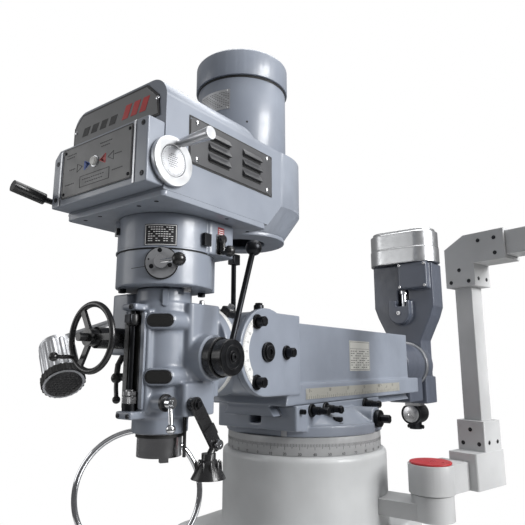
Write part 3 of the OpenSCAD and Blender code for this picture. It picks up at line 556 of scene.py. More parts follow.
def on_drum(piece, cx, cy, radius, degrees, z, up=None):
    """Places a piece's frame on an upright cylinder."""
    d = heading(degrees)
    return piece.place((cx + d.x * radius, cy + d.y * radius, z), d, up)


FRONT = Vector((0, -1, 0))
RIGHT = Vector((1, 0, 0))
BACK = Vector((0, 1, 0))
DOWN = Vector((0, 0, -1))


def heading(degrees):
    return Vector((math.cos(math.radians(degrees)), math.sin(math.radians(degrees)), 0))


# --- belt housing, front
Piece("name_plate_face", PLATE, "head").place((0, -147, 0), FRONT).prism(
    [(-137, 636), (-137.5, 677), (-113, 699.5), (91, 700), (120, 673), (125, 636)], 0, 0.7, 0.3).done()
nodes["name_plate"].data.materials.clear()
nodes["name_plate"].data.materials.append(PLATE_BLACK)
emblem = Piece("name_plate_emblem", INK_RED, "head").place((0, -147.7, 0), FRONT)
for k in range(3):
    emblem.prism([(20 + 26 * k, 652), (38 + 26 * k, 652), (50 + 26 * k, 680), (32 + 26 * k, 680)], 0, 0.4)
emblem.done()
emblem = Piece("name_plate_bars", INK, "head").place((0, -147.7, 0), FRONT)
for k in range(4):
    emblem.prism([(-112 + 30 * k, 652), (-92 + 30 * k, 652), (-84 + 30 * k, 670), (-104 + 30 * k, 670)], 0, 0.4)
emblem.done()
screws = Piece("name_plate_screws", CHROME, "head").place((0, -147.6, 0), FRONT)
for x, z in ((123, 667), (-134, 667)):
    screws.dome(x, z, 0, 4.2)
screws.done()
trim = Piece("speed_box_ridge", ALLOY, "head").place((0, -185, 0), FRONT)
trim.plate(109, 492, 113.5, 611, 0, 1.6, 1)
trim.plate(-121, 492, -116.5, 606, 0, 1.6, 1)
trim.done()
screws = Piece("speed_box_screws", OXIDE, "head").place((0, -185, 0), FRONT)
for x, z in ((132, 601), (133, 506), (-132, 584), (-132, 506)):
    screws.turned([(5.2, 0), (5.2, 0.6), (4.4, 1.0), (2.6, 1.0), (2.3, 0.3)], 24, x, z)
screws.done()
border = Piece("speed_panel_edge", PLATE_BLACK, "head").place((0, -188, 0), FRONT)
for x0, z0, x1, z1 in ((-108, 503, 106, 504.6), (-108, 604.4, 106, 606), (-108, 504.6, -106.4, 604.4),
                       (104.4, 504.6, 106, 604.4)):
    border.plate(x0, z0, x1, z1, 0, 0.5, 0.3, 0.05)
border.done()
screws = Piece("speed_panel_screws", OXIDE, "head").place((0, -188, 0), FRONT)
for x in (-101, 99):
    for z in (511, 598):
        screws.dome(x, z, 0, 3.4)
screws.done()
knob = Piece("speed_pointer", WHITE, "head").place((-2, -188, 559), FRONT)
knob.turned([(8.5, 0), (8.5, 5), (7.6, 6.5), (3.0, 7.2), (0.4, 7.3)], 32)
knob.done()
Piece("speed_pointer_ring", ALLOY, "head").place((-2, -188, 559), FRONT).ring(8.6, 11.5, 0, 1.5, 40).done()


def outlined_triangle(piece, x, z, size, side, width):
    """Triangle pointing along -side, drawn as three bars."""
    tip = (x, z)
    top = (x + side * size, z + size * 0.5)
    low = (x + side * size, z - size * 0.5)
    for p, q in ((tip, top), (top, low), (low, tip)):
        length = math.hypot(q[0] - p[0], q[1] - p[1])
        nx, nz = -(q[1] - p[1]) / length * width, (q[0] - p[0]) / length * width
        piece.prism([(p[0] - nx, p[1] - nz), (q[0] - nx, q[1] - nz), (q[0] + nx, q[1] + nz),
                     (p[0] + nx, p[1] + nz)], 0, 0.35)


for name, ink, side, at_x in (("red_range", INK_RED, 1, 13), ("blue_range", INK_BLUE, -1, -17)):
    mark = Piece("panel_" + name, ink, "head").place((0, -188, 0), FRONT)
    for shrink in range(4):
        outlined_triangle(mark, at_x + side * shrink * 2.6, 558, 18 - shrink * 4.6, side, 1.1)
    mark.done()
marks = Piece("panel_lines", INK, "head").place((0, -188, 0), FRONT)
outlined_triangle(marks, 38, 558, 17, 1, 0.5)
outlined_triangle(marks, -42, 558, 17, -1, 0.5)
for x0, z0, x1, z1 in ((-48, 515, 44, 516), (-48, 537, 44, 538), (-48, 516, -47, 537), (43, 516, 44, 537)):
    marks.plate(x0, z0, x1, z1, 0, 0.35, 0.2, 0.02)
for row, (x0, length) in enumerate(((-40, 74), (-30, 58))):
    for k in range(int(length / 7)):
        marks.plate(x0 + k * 7, 529 - row * 7, x0 + k * 7 + 4.6, 530.6 - row * 7, 0, 0.3, 0.3, 0.02)
for x0, z, count in ((-96, 590, 6), (-96, 584, 5), (58, 558, 4), (52, 528, 6), (-98, 528, 6), (-86, 558, 4),
                     (12, 590, 7), (16, 583, 5)):
    for k in range(count):
        marks.plate(x0 + k * 5.4, z, x0 + k * 5.4 + 3.8, z + 1.8, 0, 0.3, 0.3, 0.02)
marks.done()

# --- belt housing, sides
for side, word in ((1, "right"), (-1, "left")):
    face = Vector((side, 0, 0))
    gasket = Piece("louvre_gasket_" + word, RUBBER, "head").place((side * 146, 0, 0), face)
    # a thin dark seal stands round the plate
    x0, x1 = (-86, 183) if side > 0 else (-183, 86)
    for rect in ((x0, 553.5, x1, 557.2), (x0, 647.8, x1, 651.5), (x0, 556, x0 + 3.2, 649), (x1 - 3.2, 556, x1, 649)):
        gasket.plate(*rect, 0, 1.0, 1.2, 0.2)
    gasket.done()
    screws = Piece("louvre_screws_" + word, CHROME, "head").place((side * 148.5, 0, 0), face)
    for y in (-66, 162):
        for z in (640, 565):
            screws.dome(side * y, z, 0, 5.4)
    screws.done()
    # Painted shade: near-black plates stand in for the dark insides of the vent slots.
    slots = Piece("louvre_slots_" + word, BLACK_AND_HOLLOW_SHADE, "head").place((side * 148.4, 0, 0), face)
    for y0 in (-33, 74):
        for z in (576, 599, 622):
            slots.plate(min(side * (y0 + 1), side * (y0 + 63)), z - 4.5, max(side * (y0 + 1), side * (y0 + 63)),
                        z + 0.4, 0, 1.2, 1.0, 0.1)
    slots.done()
seam = Piece("housing_seam", BLACK_AND_HOLLOW_SHADE, "head")
for side in (1, -1):
    seam.place((side * 145.6, 0, 485), (side, 0, 0)).plate(-146 if side > 0 else -166, -0.6,
                                                           166 if side > 0 else 146, 0.6, 0, 0.6, 0.4, 0.1)
seam.done()
# Painted shade: near-black discs stand in for the dark insides of the underside holes.
holes = Piece("housing_underside_holes", BLACK_AND_HOLLOW_SHADE, "head")
for x, y in ((109, -128), (135, 41), (102, 150), (-109, -128), (-135, 41), (-102, 150), (60, -128), (-60, -128)):
    holes.place((x, y, 473), DOWN, Y).turned([(4.5, -0.3), (4.5, 0.15), (4.2, 0.3)], 24)
holes.done()

# --- speed crank
disc = Piece("speed_crank_face", ALLOY_CAST, "speed_crank").place((157, -132, 539), RIGHT)
disc.ring(31, 46.6, -0.2, 0.5, 80, 0.4)
disc.done()
Piece("speed_crank_shadow_ring", BLACK_AND_HOLLOW_SHADE, "speed_crank").place((154.2, -132, 539), RIGHT).ring(28.4, 30.6, -1, -0.2, 72, 0.1).done()
dial = Piece("speed_dial", ALLOY, "speed_crank").place((153, -132, 539), RIGHT)
dial.turned([(29, 0), (29, 2.4), (28.4, 3.0), (0.5, 3.0)], 72)
dial.done()
ticks = Piece("speed_dial_marks", INK, "speed_crank").place((156, -132, 539), RIGHT)
for k in range(48):
    a = k * math.tau / 48
    reach = 4.5 if k % 4 == 0 else 2.6
    radial_mark(ticks, a, 27.2 - reach, 27.2, 0.22, 0.2)
for k in range(7):
    half = (7.5, 11, 13, 14, 13, 11, 7.5)[k]
    for j in range(int(half / 2.2)):
        ticks.plate(-half + j * 4.4, 12 - k * 4, -half + j * 4.4 + 3.2, 13.2 - k * 4, 0, 0.2, 0.3, 0.02)
ticks.done()

# --- motor
# Painted shade: a near-black ring stands in for the shade in the groove round the motor.
groove = Piece("motor_groove", BLACK_AND_HOLLOW_SHADE, "head").place((0, 250, 874))
groove.ring(100, 115.9, -1.2, 5.2, 96, 0.2)
groove.done()
rating = Piece("motor_rating_plate", ALLOY, "head")
for k in range(16):
    on_drum(rating, 0, 250, 115.5, -111 + k * 46 / 16 + 46 / 32, 816)
    rating.prism([(-2.95, -26), (2.95, -26), (2.95, 26), (-2.95, 26)], -0.2, 0.8)
rating.done()
lines = Piece("motor_rating_lines", INK, "head")
for k in range(16):
    on_drum(lines, 0, 250, 116.4, -109 + k * 42 / 15, 816)
    for row in range(9):
        if (k * 7 + row * 3) % 5 != 0:
            lines.prism([(-2.1, 18 - row * 4.6), (1.5, 18 - row * 4.6), (1.5, 19.2 - row * 4.6),
                          (-2.1, 19.2 - row * 4.6)], 0, 0.15)
lines.done()
# Painted shade: a near-black disc stands in for the dark inside of the drain hole.
pip = Piece("motor_drain_hole", BLACK_AND_HOLLOW_SHADE, "head")
on_drum(pip, 0, 250, 115.4, -44, 755).turned([(2.6, -0.3), (2.6, 0.3), (2.3, 0.4)], 20).done()
rivets = Piece("motor_rating_rivets", STEEL, "head")
for a in (-108, -69):
    for z in (794, 838):
        on_drum(rivets, 0, 250, 116, a, z).dome(0, 0, 0, 2)
rivets.done()

# --- gear case
frame_lines = Piece("data_plate_border", INK_WHITE, "head")
for k in range(12):
    on_drum(frame_lines, 0, 0, 102.2, -66 + k * 34 / 12 + 34 / 24, 426.5)
    frame_lines.prism([(-2.55, 19), (2.55, 19), (2.55, 20), (-2.55, 20)], 0, 0.25)
    frame_lines.prism([(-2.55, -20), (2.55, -20), (2.55, -19), (-2.55, -19)], 0, 0.25)
    for row in range(7):
        if (k * 5 + row * 2) % 7 and 0 < k < 11 and not (row > 4 and k % 3 == 0):
            frame_lines.prism([(-2.1, 14.6 - row * 4.6), (1.6, 14.6 - row * 4.6), (1.6, 16.0 - row * 4.6),
                               (-2.1, 16.0 - row * 4.6)], 0, 0.2)
for a in (-66, -32):
    on_drum(frame_lines, 0, 0, 102.2, a, 426.5)
    frame_lines.prism([(-0.5, -20), (0.5, -20), (0.5, 20), (-0.5, 20)], 0, 0.25)
frame_lines.done()
SEL = heading(-47)
screws = Piece("selector_screws", OXIDE, "head").place((SEL.x * 128, SEL.y * 128, 370), SEL)
for a in (95, 215, 335):
    screws.turned([(4.4, -1), (4.4, 0.35), (3.9, 0.5)], 24, 20 * math.cos(math.radians(a)), 20 * math.sin(math.radians(a)))
screws.turned([(1.8, -1), (1.8, 0.2), (1.5, 0.3)], 16, -22, 2)
screws.done()
Piece("selector_bezel", BLACK, "head").place((SEL.x * 101, SEL.y * 101, 370), SEL).ring(30.1, 32.4, -4, 3, 64).done()
# Painted shade: a near-black band stands in for the shadow under the overhanging upper ring.
band = Piece("gear_case_groove", BLACK_AND_HOLLOW_SHADE, "head").place((0, 0, 398))
band.ring(90, 101.3, 0, 3, 96, 0.1)
band.done()
lip = Piece("gear_case_lip", PAINT, "head").place((0, 0, 401))
lip.ring(97, 103.6, 0, 3.4, 120, 0.8).done()
trip = Piece("feed_trip", BLACK, "head")
trip.sweep([(-72, -40, 200), (-78, -50, 176), (-76, -54, 152)], 6).ball(-76, -54, 150, 11)
trip.sweep([(-76, -54, 150), (-68, -60, 130), (-60, -64, 110)], 4.5).ball(-60, -64, 108, 8)
trip.sweep([(-76, -50, 152), (-50, -30, 152)], 8)
trip.done()
line = Piece("index_line", BLACK_AND_HOLLOW_SHADE, "head")
for k in range(8):
    on_drum(line, 0, 0, 101, -82 + k * 2.2, 361.5 + k * 0.25)
    line.prism([(-2.2, -0.5), (2.2, -0.5), (2.2, 0.5), (-2.2, 0.5)], -0.2, 0.15)
line.done()
pin = Piece("gear_case_pin", CHROME, "head")
PIN_HEADING = -118
on_drum(pin, 0, 0, 99, PIN_HEADING, 462).plate(-5, -26, 5, 6, 0, 9, 2, 0.5).done()
pin = Piece("gear_case_pin_seat", OXIDE, "head")
on_drum(pin, 0, 0, 99, PIN_HEADING, 462).plate(5, -24, 12, -10, 0, 8, 2, 0.5).done()
sticker = Piece("caution_patch", DARK_RED, "head").place((104, 60, 448), RIGHT)
sticker.plate(-12, -12, 8, 14, 0, 0.4, 1, 0.1).done()
sticker = Piece("caution_patch_lines", INK_WHITE, "head").place((104.4, 60, 448), RIGHT)
for row in range(5):
    sticker.plate(-9.5, 8 - row * 4.4, 5.5, 9.6 - row * 4.4, 0, 0.15, 0.4, 0.02)
sticker.done()
bolts = Piece("gear_case_bolts", STEEL, "head")
bolts.place((70, -4, 330), DOWN, Y).turned([(11, 0), (11, 1.5), (10.4, 2)], 32).hexagon(0, 0, 2, 14, 8)
bolts.done()
bolts = Piece("gear_case_bolts_dark", OXIDE, "head")
for x, y in ((-55, -67), (-20, 82), (30, 80)):
    bolts.place((x, y, 330), DOWN, Y).socket_screw(0, 0, 0, 8, 8)
bolts.done()
link = Piece("range_lever_plate", CHROME, "head").place((104, 56, 436), RIGHT)
link.plate(-14, -34, 10, 10, 0, 2, 3, 0.4).done()
link = Piece("range_lever_seat", OXIDE, "head").place((104, 13, 436), RIGHT)
link.plate(-12, -22, 8, 4, 0, 8, 1.5, 0.6).done()

# --- quill housing
rims = Piece("socket_rims", BLACK, "head")
# Painted shade: near-black plates stand in for the dark insides of the sockets.
hollows = Piece("socket_hollows", BLACK_AND_HOLLOW_SHADE, "head")
for z in (154, 262):
    d = heading(-56)
    Piece("socket_boss_%d" % z, PAINT, "head").place((49, -53, z), d).plate(-31, -17, 31, 17, -26, 1, 16.8, 3).done()
    rims.place((49, -53, z), d).plate(-27, -13, 27, 13, 0, 2.2, 12.8, 0.8)
    hollows.place((49, -53, z), d).plate(-23, -9.4, 23, 9.4, 1.8, 2.6, 9.2, 0.3)
rims.done()
hollows.done()
# Painted shade: a near-black plate stands in for the shade in the channel beside the depth scale.
channel = Piece("stop_channel", BLACK_AND_HOLLOW_SHADE, "head")
channel.place((0, -66, 0), FRONT).plate(-20.5, 93, 13, 281, -1, 0.4, 1, 0.1)
channel.done()
channel = Piece("stop_channel_edge", OXIDE, "head").place((0, -66, 0), FRONT)
channel.plate(9, 95, 14, 280, 0, 4.2, 1, 0.4).plate(-22.5, 95, -20.2, 280, 0, 2.5, 0.8, 0.3).done()
scale = Piece("depth_scale_face", PLATE, "head").place((0, -70, 0), FRONT)
scale.plate(-35, 94, -23, 272, 0, 0.8, 1, 0.2).done()
ticks = Piece("depth_scale_ticks", INK, "head").place((0, -70.8, 0), FRONT)
for k in range(66):
    reach = 7 if k % 10 == 0 else (5 if k % 5 == 0 else 3)
    ticks.plate(-23.6 - reach, 103 + k * 2.4, -23.6, 103.6 + k * 2.4, 0, 0.15, 0.1, 0.01)
for k in range(7):
    ticks.number(str(k), 5, -32, 104 + k * 24, 0.15)
ticks.done()
screws = Piece("depth_scale_screws", STEEL, "head").place((0, -70.8, 0), FRONT)
screws.dome(-29, 265, 0, 3).dome(-29, 98.5, 0, 3).done()
screws = Piece("bracket_screws", OXIDE, "head")
screws.place((5, -90, 288), FRONT).socket_screw(0, 0, 0, 5.5, 2)
screws.place((-14, -95, 82), FRONT).socket_screw(0, 0, 0, 4.5, 1.5)
screws.place((14, -95, 82), FRONT).socket_screw(0, 0, 0, 4.5, 1.5)
screws.done()
knob = Piece("stop_knob", BLACK, "head").place((-8, -72, 252))
knob.turned([(9, 0), (13, 1.5), (14, 6), (14, 18), (12, 23), (7, 24)], 40).done()
nuts = Piece("stop_nuts", TURNED, "head").place((-8, -72, 0))
for z0, z1, r in ((104, 117, 15), (118.5, 127, 13.6)):
    profile_steps = 36
    points = []
    for k in range(profile_steps * 2):
        a = k * math.pi / profile_steps
        rr = r + (0.45 if k % 2 else -0.35)
        points.append((rr * math.cos(a), rr * math.sin(a)))
    nuts.prism(points, z0, z1, 0.8)
nuts.turned([(10.5, 127), (10.5, 129), (9.8, 129.8), (6.2, 129.8)], 36)
nuts.done()
Piece("stop_sleeve", OXIDE, "head").place((-8, -72, 90)).turned([(15, 0.2), (15, 12.5), (14.2, 13.6)], 40).done()
lockseat = Piece("quill_lock_socket", BLACK, "head").place((64, -44, 106), RIGHT)
lockseat.ring(11.4, 16.5, -5, 0.4, 48).done()
# Painted shade: a near-black ring stands in for the shade in the gap between quill and spindle nose.
gap = Piece("quill_gap_ring", BLACK_AND_HOLLOW_SHADE, "quill").place((0, 0, 37.4))
gap.ring(41.5, 47.5, 0, 6.2, 96, 0.3).done()
bar = Piece("guard_stay", BLACK, "head").place((60, 10, 63), DOWN, Y)
bar.turned([(3.4, -20), (3.4, 61), (2.8, 62)], 20).done()
face = Piece("nose_key_screw", OXIDE, "spindle")
for a in (-28, 152):
    d = heading(a)
    face.place((d.x * 40, d.y * 40, 4), d).socket_screw(0, 0, 2.6, 3, 1.2)
face.done()

# --- quill feed
hub = Piece("feed_hub_rings", BLACK, "feed_lever").place((104.8, 46, 191), RIGHT)
points = []
for k in range(96):
    a = k * math.tau / 96
    rr = 35.9 + (0.55 if k % 2 else 0)
    points.append((rr * math.cos(a), rr * math.sin(a)))
hub.prism(points, 22, 44, 1.0)
hub.ring(36.5, 40.5, 0.5, 18, 80, 1.5)
hub.done()
cap = Piece("feed_hub_cap", OXIDE, "feed_lever").place((152, 46, 191), RIGHT)
cap.ring(21, 24.5, -0.5, 1.2, 72).ring(10, 13, -0.5, 1.4, 48).turned([(7.6, 0), (7.6, 3.5), (7, 4), (4.2, 4), (4, 1.2)], 32).done()
boss = Piece("feed_boss", PAINT, "head").place((88, 46, 191), RIGHT)
boss.ring(36, 45.5, 0, 16.2, 80, 2.5).done()

# --- swivel ring with degrees
white = Piece("swivel_scale_band", SCALE_WHITE, "head").place((0, 0, 206), BACK, Z)
white.ring(99, 101.25, 107, 120, 160, 0.1).done()
ticks = Piece("swivel_scale_ticks", INK, "head")
for k in range(-36, 37):
    a = math.radians(k * 2.5)
    d = Vector((math.cos(a), 0, math.sin(a)))
    reach = 8 if k % 4 == 0 else 4.5
    ticks.place((d.x * 101.25, 120 - reach / 2, 206 + d.z * 101.25), d, Y)
    ticks.plate(-0.25, -reach / 2, 0.25, reach / 2, 0, 0.12, 0.1, 0.01)
ticks.done()
wedge = Piece("swivel_clamp", BLACK, "knuckle")
d = Vector((math.cos(math.radians(55)), 0, math.sin(math.radians(55))))
wedge.place((d.x * 99, 124, 206 + d.z * 99), d, Y)
wedge.prism([(-12, -1), (12, -1), (16, 22), (-4, 28), (-14, 14)], -1, 15, 2).done()
nut = Piece("swivel_clamp_nut", STEEL, "knuckle").place((d.x * 113, 136, 206 + d.z * 113), d, Y)
nut.turned([(9.5, 0), (9.5, 1.6), (9, 2)], 32).hexagon(0, 0, 2, 13, 9).done()

# --- ram fork
for side, word in ((1, "right"), (-1, "left")):
    face = Vector((side, 0, 0))
    heads = Piece("fork_bolts_" + word, OXIDE, "ram")
    for dy, dz in ((-39, 65), (-40, -65), (74, 0)):
        heads.place((side * 120, 202 + dy, 204.5 + dz), face).turned([(16.5, 0), (16.5, 3), (15.8, 4), (12, 4.2)], 40)
        heads.hexagon(0, 0, 4, 19, 20)
    heads.done()
    pivot = Piece("fork_pivot_" + word, OXIDE, "ram").place((side * 120, 202, 204.5), face)
    pivot.ring(16.2, 22, 0, 6, 64, 1.2).turned([(15.8, 5), (15.8, 8.2), (14.6, 9.4), (7, 9.4), (6.6, 5.5)], 48).done()
    ticks = Piece("tilt_scale_ticks_" + word, INK, "ram").place((side * 121, 202, 204.5), face)
    for k in range(-30, 31):
        a = math.radians(180 + k * 1.5) if side > 0 else math.radians(k * 1.5)
        reach = 8 if k % 10 == 0 else (6 if k % 5 == 0 else 4)
        radial_mark(ticks, a, 88.4 - reach, 88.4, 0.25, 0.15)
    for k in range(-3, 4):
        a = math.radians(180 + k * 15) if side > 0 else math.radians(k * 15)
        ticks.number(str(abs(k) * 15), 7, 75 * math.cos(a), 75 * math.sin(a), 0.15)
    ticks.done()
top = Piece("ram_top_bolt", OXIDE, "ram").place((104, 190, 302))
top.turned([(11.5, -3), (11.5, 6), (10.8, 7)], 36).hexagon(0, 0, 7, 15, 5).done()
label = Piece("ram_label", PLATE_PALE, "ram").place((104, 0, 0), RIGHT)
label.plate(619, 159, 749, 245, 0, 0.8, 2, 0.2).done()
label = Piece("ram_label_lines", INK, "ram").place((104.8, 0, 0), RIGHT)
for x0, z0, x1, z1 in ((622, 162, 746, 163), (622, 241, 746, 242), (622, 163, 623, 241), (745, 163, 746, 241),
                       (622, 222, 746, 222.8), (662, 163, 662.7, 222), (704, 163, 704.7, 222)):
    label.plate(x0, z0, x1, z1, 0, 0.15, 0.2, 0.01)
for row in range(8):
    for k in range(9):
        if (row * 3 + k) % 4:
            label.plate(627 + k * 13.2, 168 + row * 6.6, 636 + k * 13.2, 170 + row * 6.6, 0, 0.15, 0.3, 0.01)
label.done()
for side, word in ((1, "right"), (-1, "left")):
    ticks = Piece("ram_scale_ticks_" + word, INK, "ram").place((side * 116, 0, 0), (side, 0, 0))
    for k in range(0, 56):
        y = 370 + k * 10
        reach = 13 if k % 10 == 0 else (10 if k % 5 == 0 else 6.5)
        ticks.plate(side * y - 0.45, 93.5, side * y + 0.45, 93.5 + reach, 0, 0.15, 0.1, 0.01)
    for k in range(0, 6):
        ticks.number(str(k * 10), 11, side * (370 + k * 100) + side * 12, 113, 0.15)
    ticks.done()

# --- turret
# Painted shade: a near-black sheet stands in for the shade inside the notch.
notch = Piece("turret_notch", BLACK_AND_HOLLOW_SHADE, "turret").place((0, 311.8, 0), FRONT)
notch.prism([(-62, 81), (-78, 57), (-40, 57), (-30, 81)], 0, 0.4)
notch.done()
gib = Piece("turret_gib", STEEL, "turret")
gib.place((0, 311.9, 0), FRONT).prism([(60, 80), (76, 58), (82, 58), (66, 80)], 0, 1.2, 0.3).done()
heads = Piece("clamp_bolt_heads", OXIDE, "turret")
for y in (378, 445, 667):
    heads.place((163, y, 67), RIGHT).hexagon(0, 0, 0, 17, 9)
    heads.place((123, y, 67), RIGHT).turned([(16, 0), (16, 4), (15, 5)], 36)
heads.done()
heads = Piece("turret_bolts", OXIDE, "turret")
for a in (-118, -62, 62, 118, -28, 152):
    d = heading(a) * 176
    heads.place((d.x, 532 + d.y, 31), Z, Y).turned([(17, 0), (17, 3), (16, 4)], 36).hexagon(0, 0, 4, 22, 13)
heads.done()
ticks = Piece("turret_ring_ticks", INK, "stand")
for k in range(341):
    reach = 14 if k % 10 == 0 else (11 if k % 5 == 0 else 7)
    on_drum(ticks, 0, 532, 209, -170 + k, 3)
    ticks.plate(-0.35, -reach - 13, 0.35, -13, 0, 0.15, 0.1, 0.01)
for k in range(35):
    on_drum(ticks, 0, 532, 209.2, -170 + k * 10, -34)
    ticks.number(str(abs(k * 10 - 80) % 180), 9, 0, 0, 0)
ticks.done()
index = Piece("turret_index", ALLOY, "turret")
on_drum(index, 0, 532, 213, -70, 18).plate(-7, -11, 7, 8, 0, 1.2, 2, 0.3).done()

# --- slotting head
ring_band = Piece("slot_ring_ticks", INK, "ram")
for k in range(0, 120):
    a = math.radians(k * 3)
    d = Vector((math.cos(a), 0, math.sin(a)))
    reach = 8 if k % 5 == 0 else 5
    ring_band.place((d.x * 91, 1294 - reach / 2, 175 + d.z * 91), d, Y)
    ring_band.plate(-0.3, -reach / 2, 0.3, reach / 2, 0, 0.15, 0.1, 0.01)
ring_band.done()

# --- lamps
pos = Vector((-192, -100, 142))
axis = Vector((-0.668, 0.204, 0.716)).normalized()
fins = Piece("led_lamp_fins", ALLOY, "led_lamp")
fins.place(pos + axis * 0, axis)
for k in range(12):
    a = k * math.tau / 12
    fins.turned([(7.5, 14), (8.5, 18), (8.5, 92), (6.5, 99), (2, 101)], 16, 31 * math.cos(a), 31 * math.sin(a))
fins.done()
bezel = Piece("led_lamp_bezel", RUBBER, "led_lamp").place(pos, axis)
points = []
for k in range(144):
    a = k * math.tau / 144
    rr = 43.4 + (1.6 if (k // 3) % 2 else 0)
    points.append((rr * math.cos(a), rr * math.sin(a)))
bezel.prism(points, -6, 13, 1.2)
bezel.done()
lens = Piece("led_lamp_lens", BLACK, "led_lamp").place(pos - axis * 8, -axis)
lens.turned([(37, 0), (37, 1.0), (36, 1.4)], 64)
for row in range(-4, 5):
    for col in range(-4, 5):
        x = col * 8 + (row % 2) * 4
        yy = row * 7
        if math.hypot(x, yy) < 31:
            lens.turned([(3.6, 1.3), (3.6, 1.9), (2.2, 2.4)], 6, x, yy)
lens.done()
pivot = Piece("work_lamp_pivot", CHROME, "work_lamp").place((110, 58, 23), RIGHT)
pivot.turned([(9.4, -6), (9.4, 0), (8.4, 1.6), (3.4, 1.6), (3, 0.4)], 40).done()
pivot = Piece("work_lamp_upper_pivot", OXIDE, "work_lamp").place((100, 2, 102), RIGHT)
pivot.turned([(10, 0), (10, 2.5), (9, 3.5)], 36).hexagon(0, 0, 3.5, 12, 5).done()
clip = Piece("work_lamp_clip", BLACK, "work_lamp").place((100.2, 40, 48), RIGHT, Vector((0, -0.578, 0.816)))
clip.plate(-15, -14, 15, 12, 0, 3.5, 3, 0.8).done()
ribs = Piece("work_lamp_fins", BLACK, "work_lamp").place((97, 40, -38))
for k in range(10):
    a = k * math.tau / 10
    ribs.turned([(2.6, 8), (2.6, 30), (1.5, 32)], 8, 24 * math.cos(a), 24 * math.sin(a))
ribs.done()
glass = Piece("work_lamp_glass", WHITE, "work_lamp").place((97, 40, -38), DOWN, Y)
glass.turned([(30, -0.5), (30, 0.4), (27, 0.8)], 48).done()

# ------------------------------------------------------- slotter and pendant
Y_SLOT = 1296
seam = Piece("slot_cover_seam", BLACK_AND_HOLLOW_SHADE, "slotting_head")
outline = []
for cx, start in ((65, -90), (-65, 90)):
    for k in range(13):
        a = math.radians(start + k * 15)
        outline.append((cx + 77.5 * math.cos(a), Y_SLOT + 38 + 78.6 * math.sin(a)))
seam.place((0, 0, 644)).prism(outline, -0.8, 0.8).done()
badge = Piece("slot_cover_band", STEEL, "slotting_head").place((0, 0, 583))
badge.prism([(x * 1.008, Y_SLOT + 38 + (y - Y_SLOT - 38) * 1.01) for x, y in outline], 0, 3, 0.6).done()
screws = Piece("slot_screws", STEEL, "slotting_head").place((0, Y_SLOT - 34, 0), FRONT)
for x, z in ((4, 484), (4, 572), (106, 484), (106, 572)):
    screws.socket_screw(x, z, 0, 5.5, 5)
screws.place((0, Y_SLOT - 32, 0), FRONT).socket_screw(-8, 380, 0, 8, 5)
screws.done()
shaft = Piece("slot_crank_shaft", CHROME, "slotting_head").place((2, Y_SLOT + 6, 408))
shaft.turned([(12, 0), (12, 50), (16, 52), (16, 64), (15, 65)], 40).done()
disc = Piece("slot_tool_disc", STEEL, "slotting_ram").place((0, Y_SLOT + 22, -15), FRONT)
disc.turned([(32, 0), (32, 1.4), (30, 2.4), (9, 2.4), (8, 1)], 64).done()
knobs = Piece("slot_tool_screws", OXIDE, "slotting_ram")
for a in (0, 180):
    knobs.place((24 * math.cos(math.radians(a)), Y_SLOT + 66, -66), heading(a)).hexagon(0, 0, 0, 13, 9)
knobs.done()


def on_pendant(x, y, z):
    """Millimetres in the frame of the pendant's post, measured up from its pivot."""
    turn = math.radians(-15)
    px, py = x + 31, y + 173
    return (343 + px * math.cos(turn) - py * math.sin(turn), 564 + px * math.sin(turn) + py * math.cos(turn), z - 124)


holes = Piece("pendant_screws", OXIDE, "pendant")
FACE = heading(-105)
SIDE = heading(-15)
for x, z in ((-26, 520), (26, 520), (0, 552), (104, 584), (60, 624), (104, 624)):
    holes.place(on_pendant(x, -38, z), FACE).turned([(5.2, -0.2), (5.2, 0.5), (4.6, 0.9), (2.4, 0.9), (2, 0.3)], 20, 0, 0)
for x, z in ((-22, 104), (22, 104), (0, 138)):
    holes.place(on_pendant(x, -40, z), FACE).turned([(5.2, -0.2), (5.2, 0.5), (4.6, 0.9), (2.4, 0.9), (2, 0.3)], 20)
for y, z in ((-20, 108), (20, 108), (-20, 526), (20, 526)):
    x = 38 if z < 200 else 44
    holes.place(on_pendant(x, y, z), SIDE).turned([(5.2, -0.2), (5.2, 0.5), (4.6, 0.9), (2.4, 0.9), (2, 0.3)], 20)
holes.done()
panel = Piece("pendant_panel", PLATE_DARK, "pendant").place(on_pendant(480, -57, 0), FACE)
panel.plate(-112, 343, 112, 523, 0, 1.5, 3, 0.4).done()
keys = Piece("pendant_keys", BLACK, "pendant").place(on_pendant(480, -58.5, 0), FACE)
for row in range(4):
    for k in range(6):
        keys.plate(-96 + k * 33, 352 + row * 26, -74 + k * 33, 368 + row * 26, 0, 3.0, 3, 0.8)
keys.done()
window = Piece("pendant_window", BLACK_AND_HOLLOW_SHADE, "pendant").place(on_pendant(480, -58.5, 0), FACE)
window.plate(-96, 462, 60, 512, 0, 0.8, 3, 0.3).done()
button = Piece("pendant_stop", RED, "pendant").place(on_pendant(480, -58.5, 487), FACE)
button.turned([(8, 0), (8, 12), (15, 12.5), (16, 18), (13, 23), (6, 24.5)], 40, -84 + 168, 0).done()

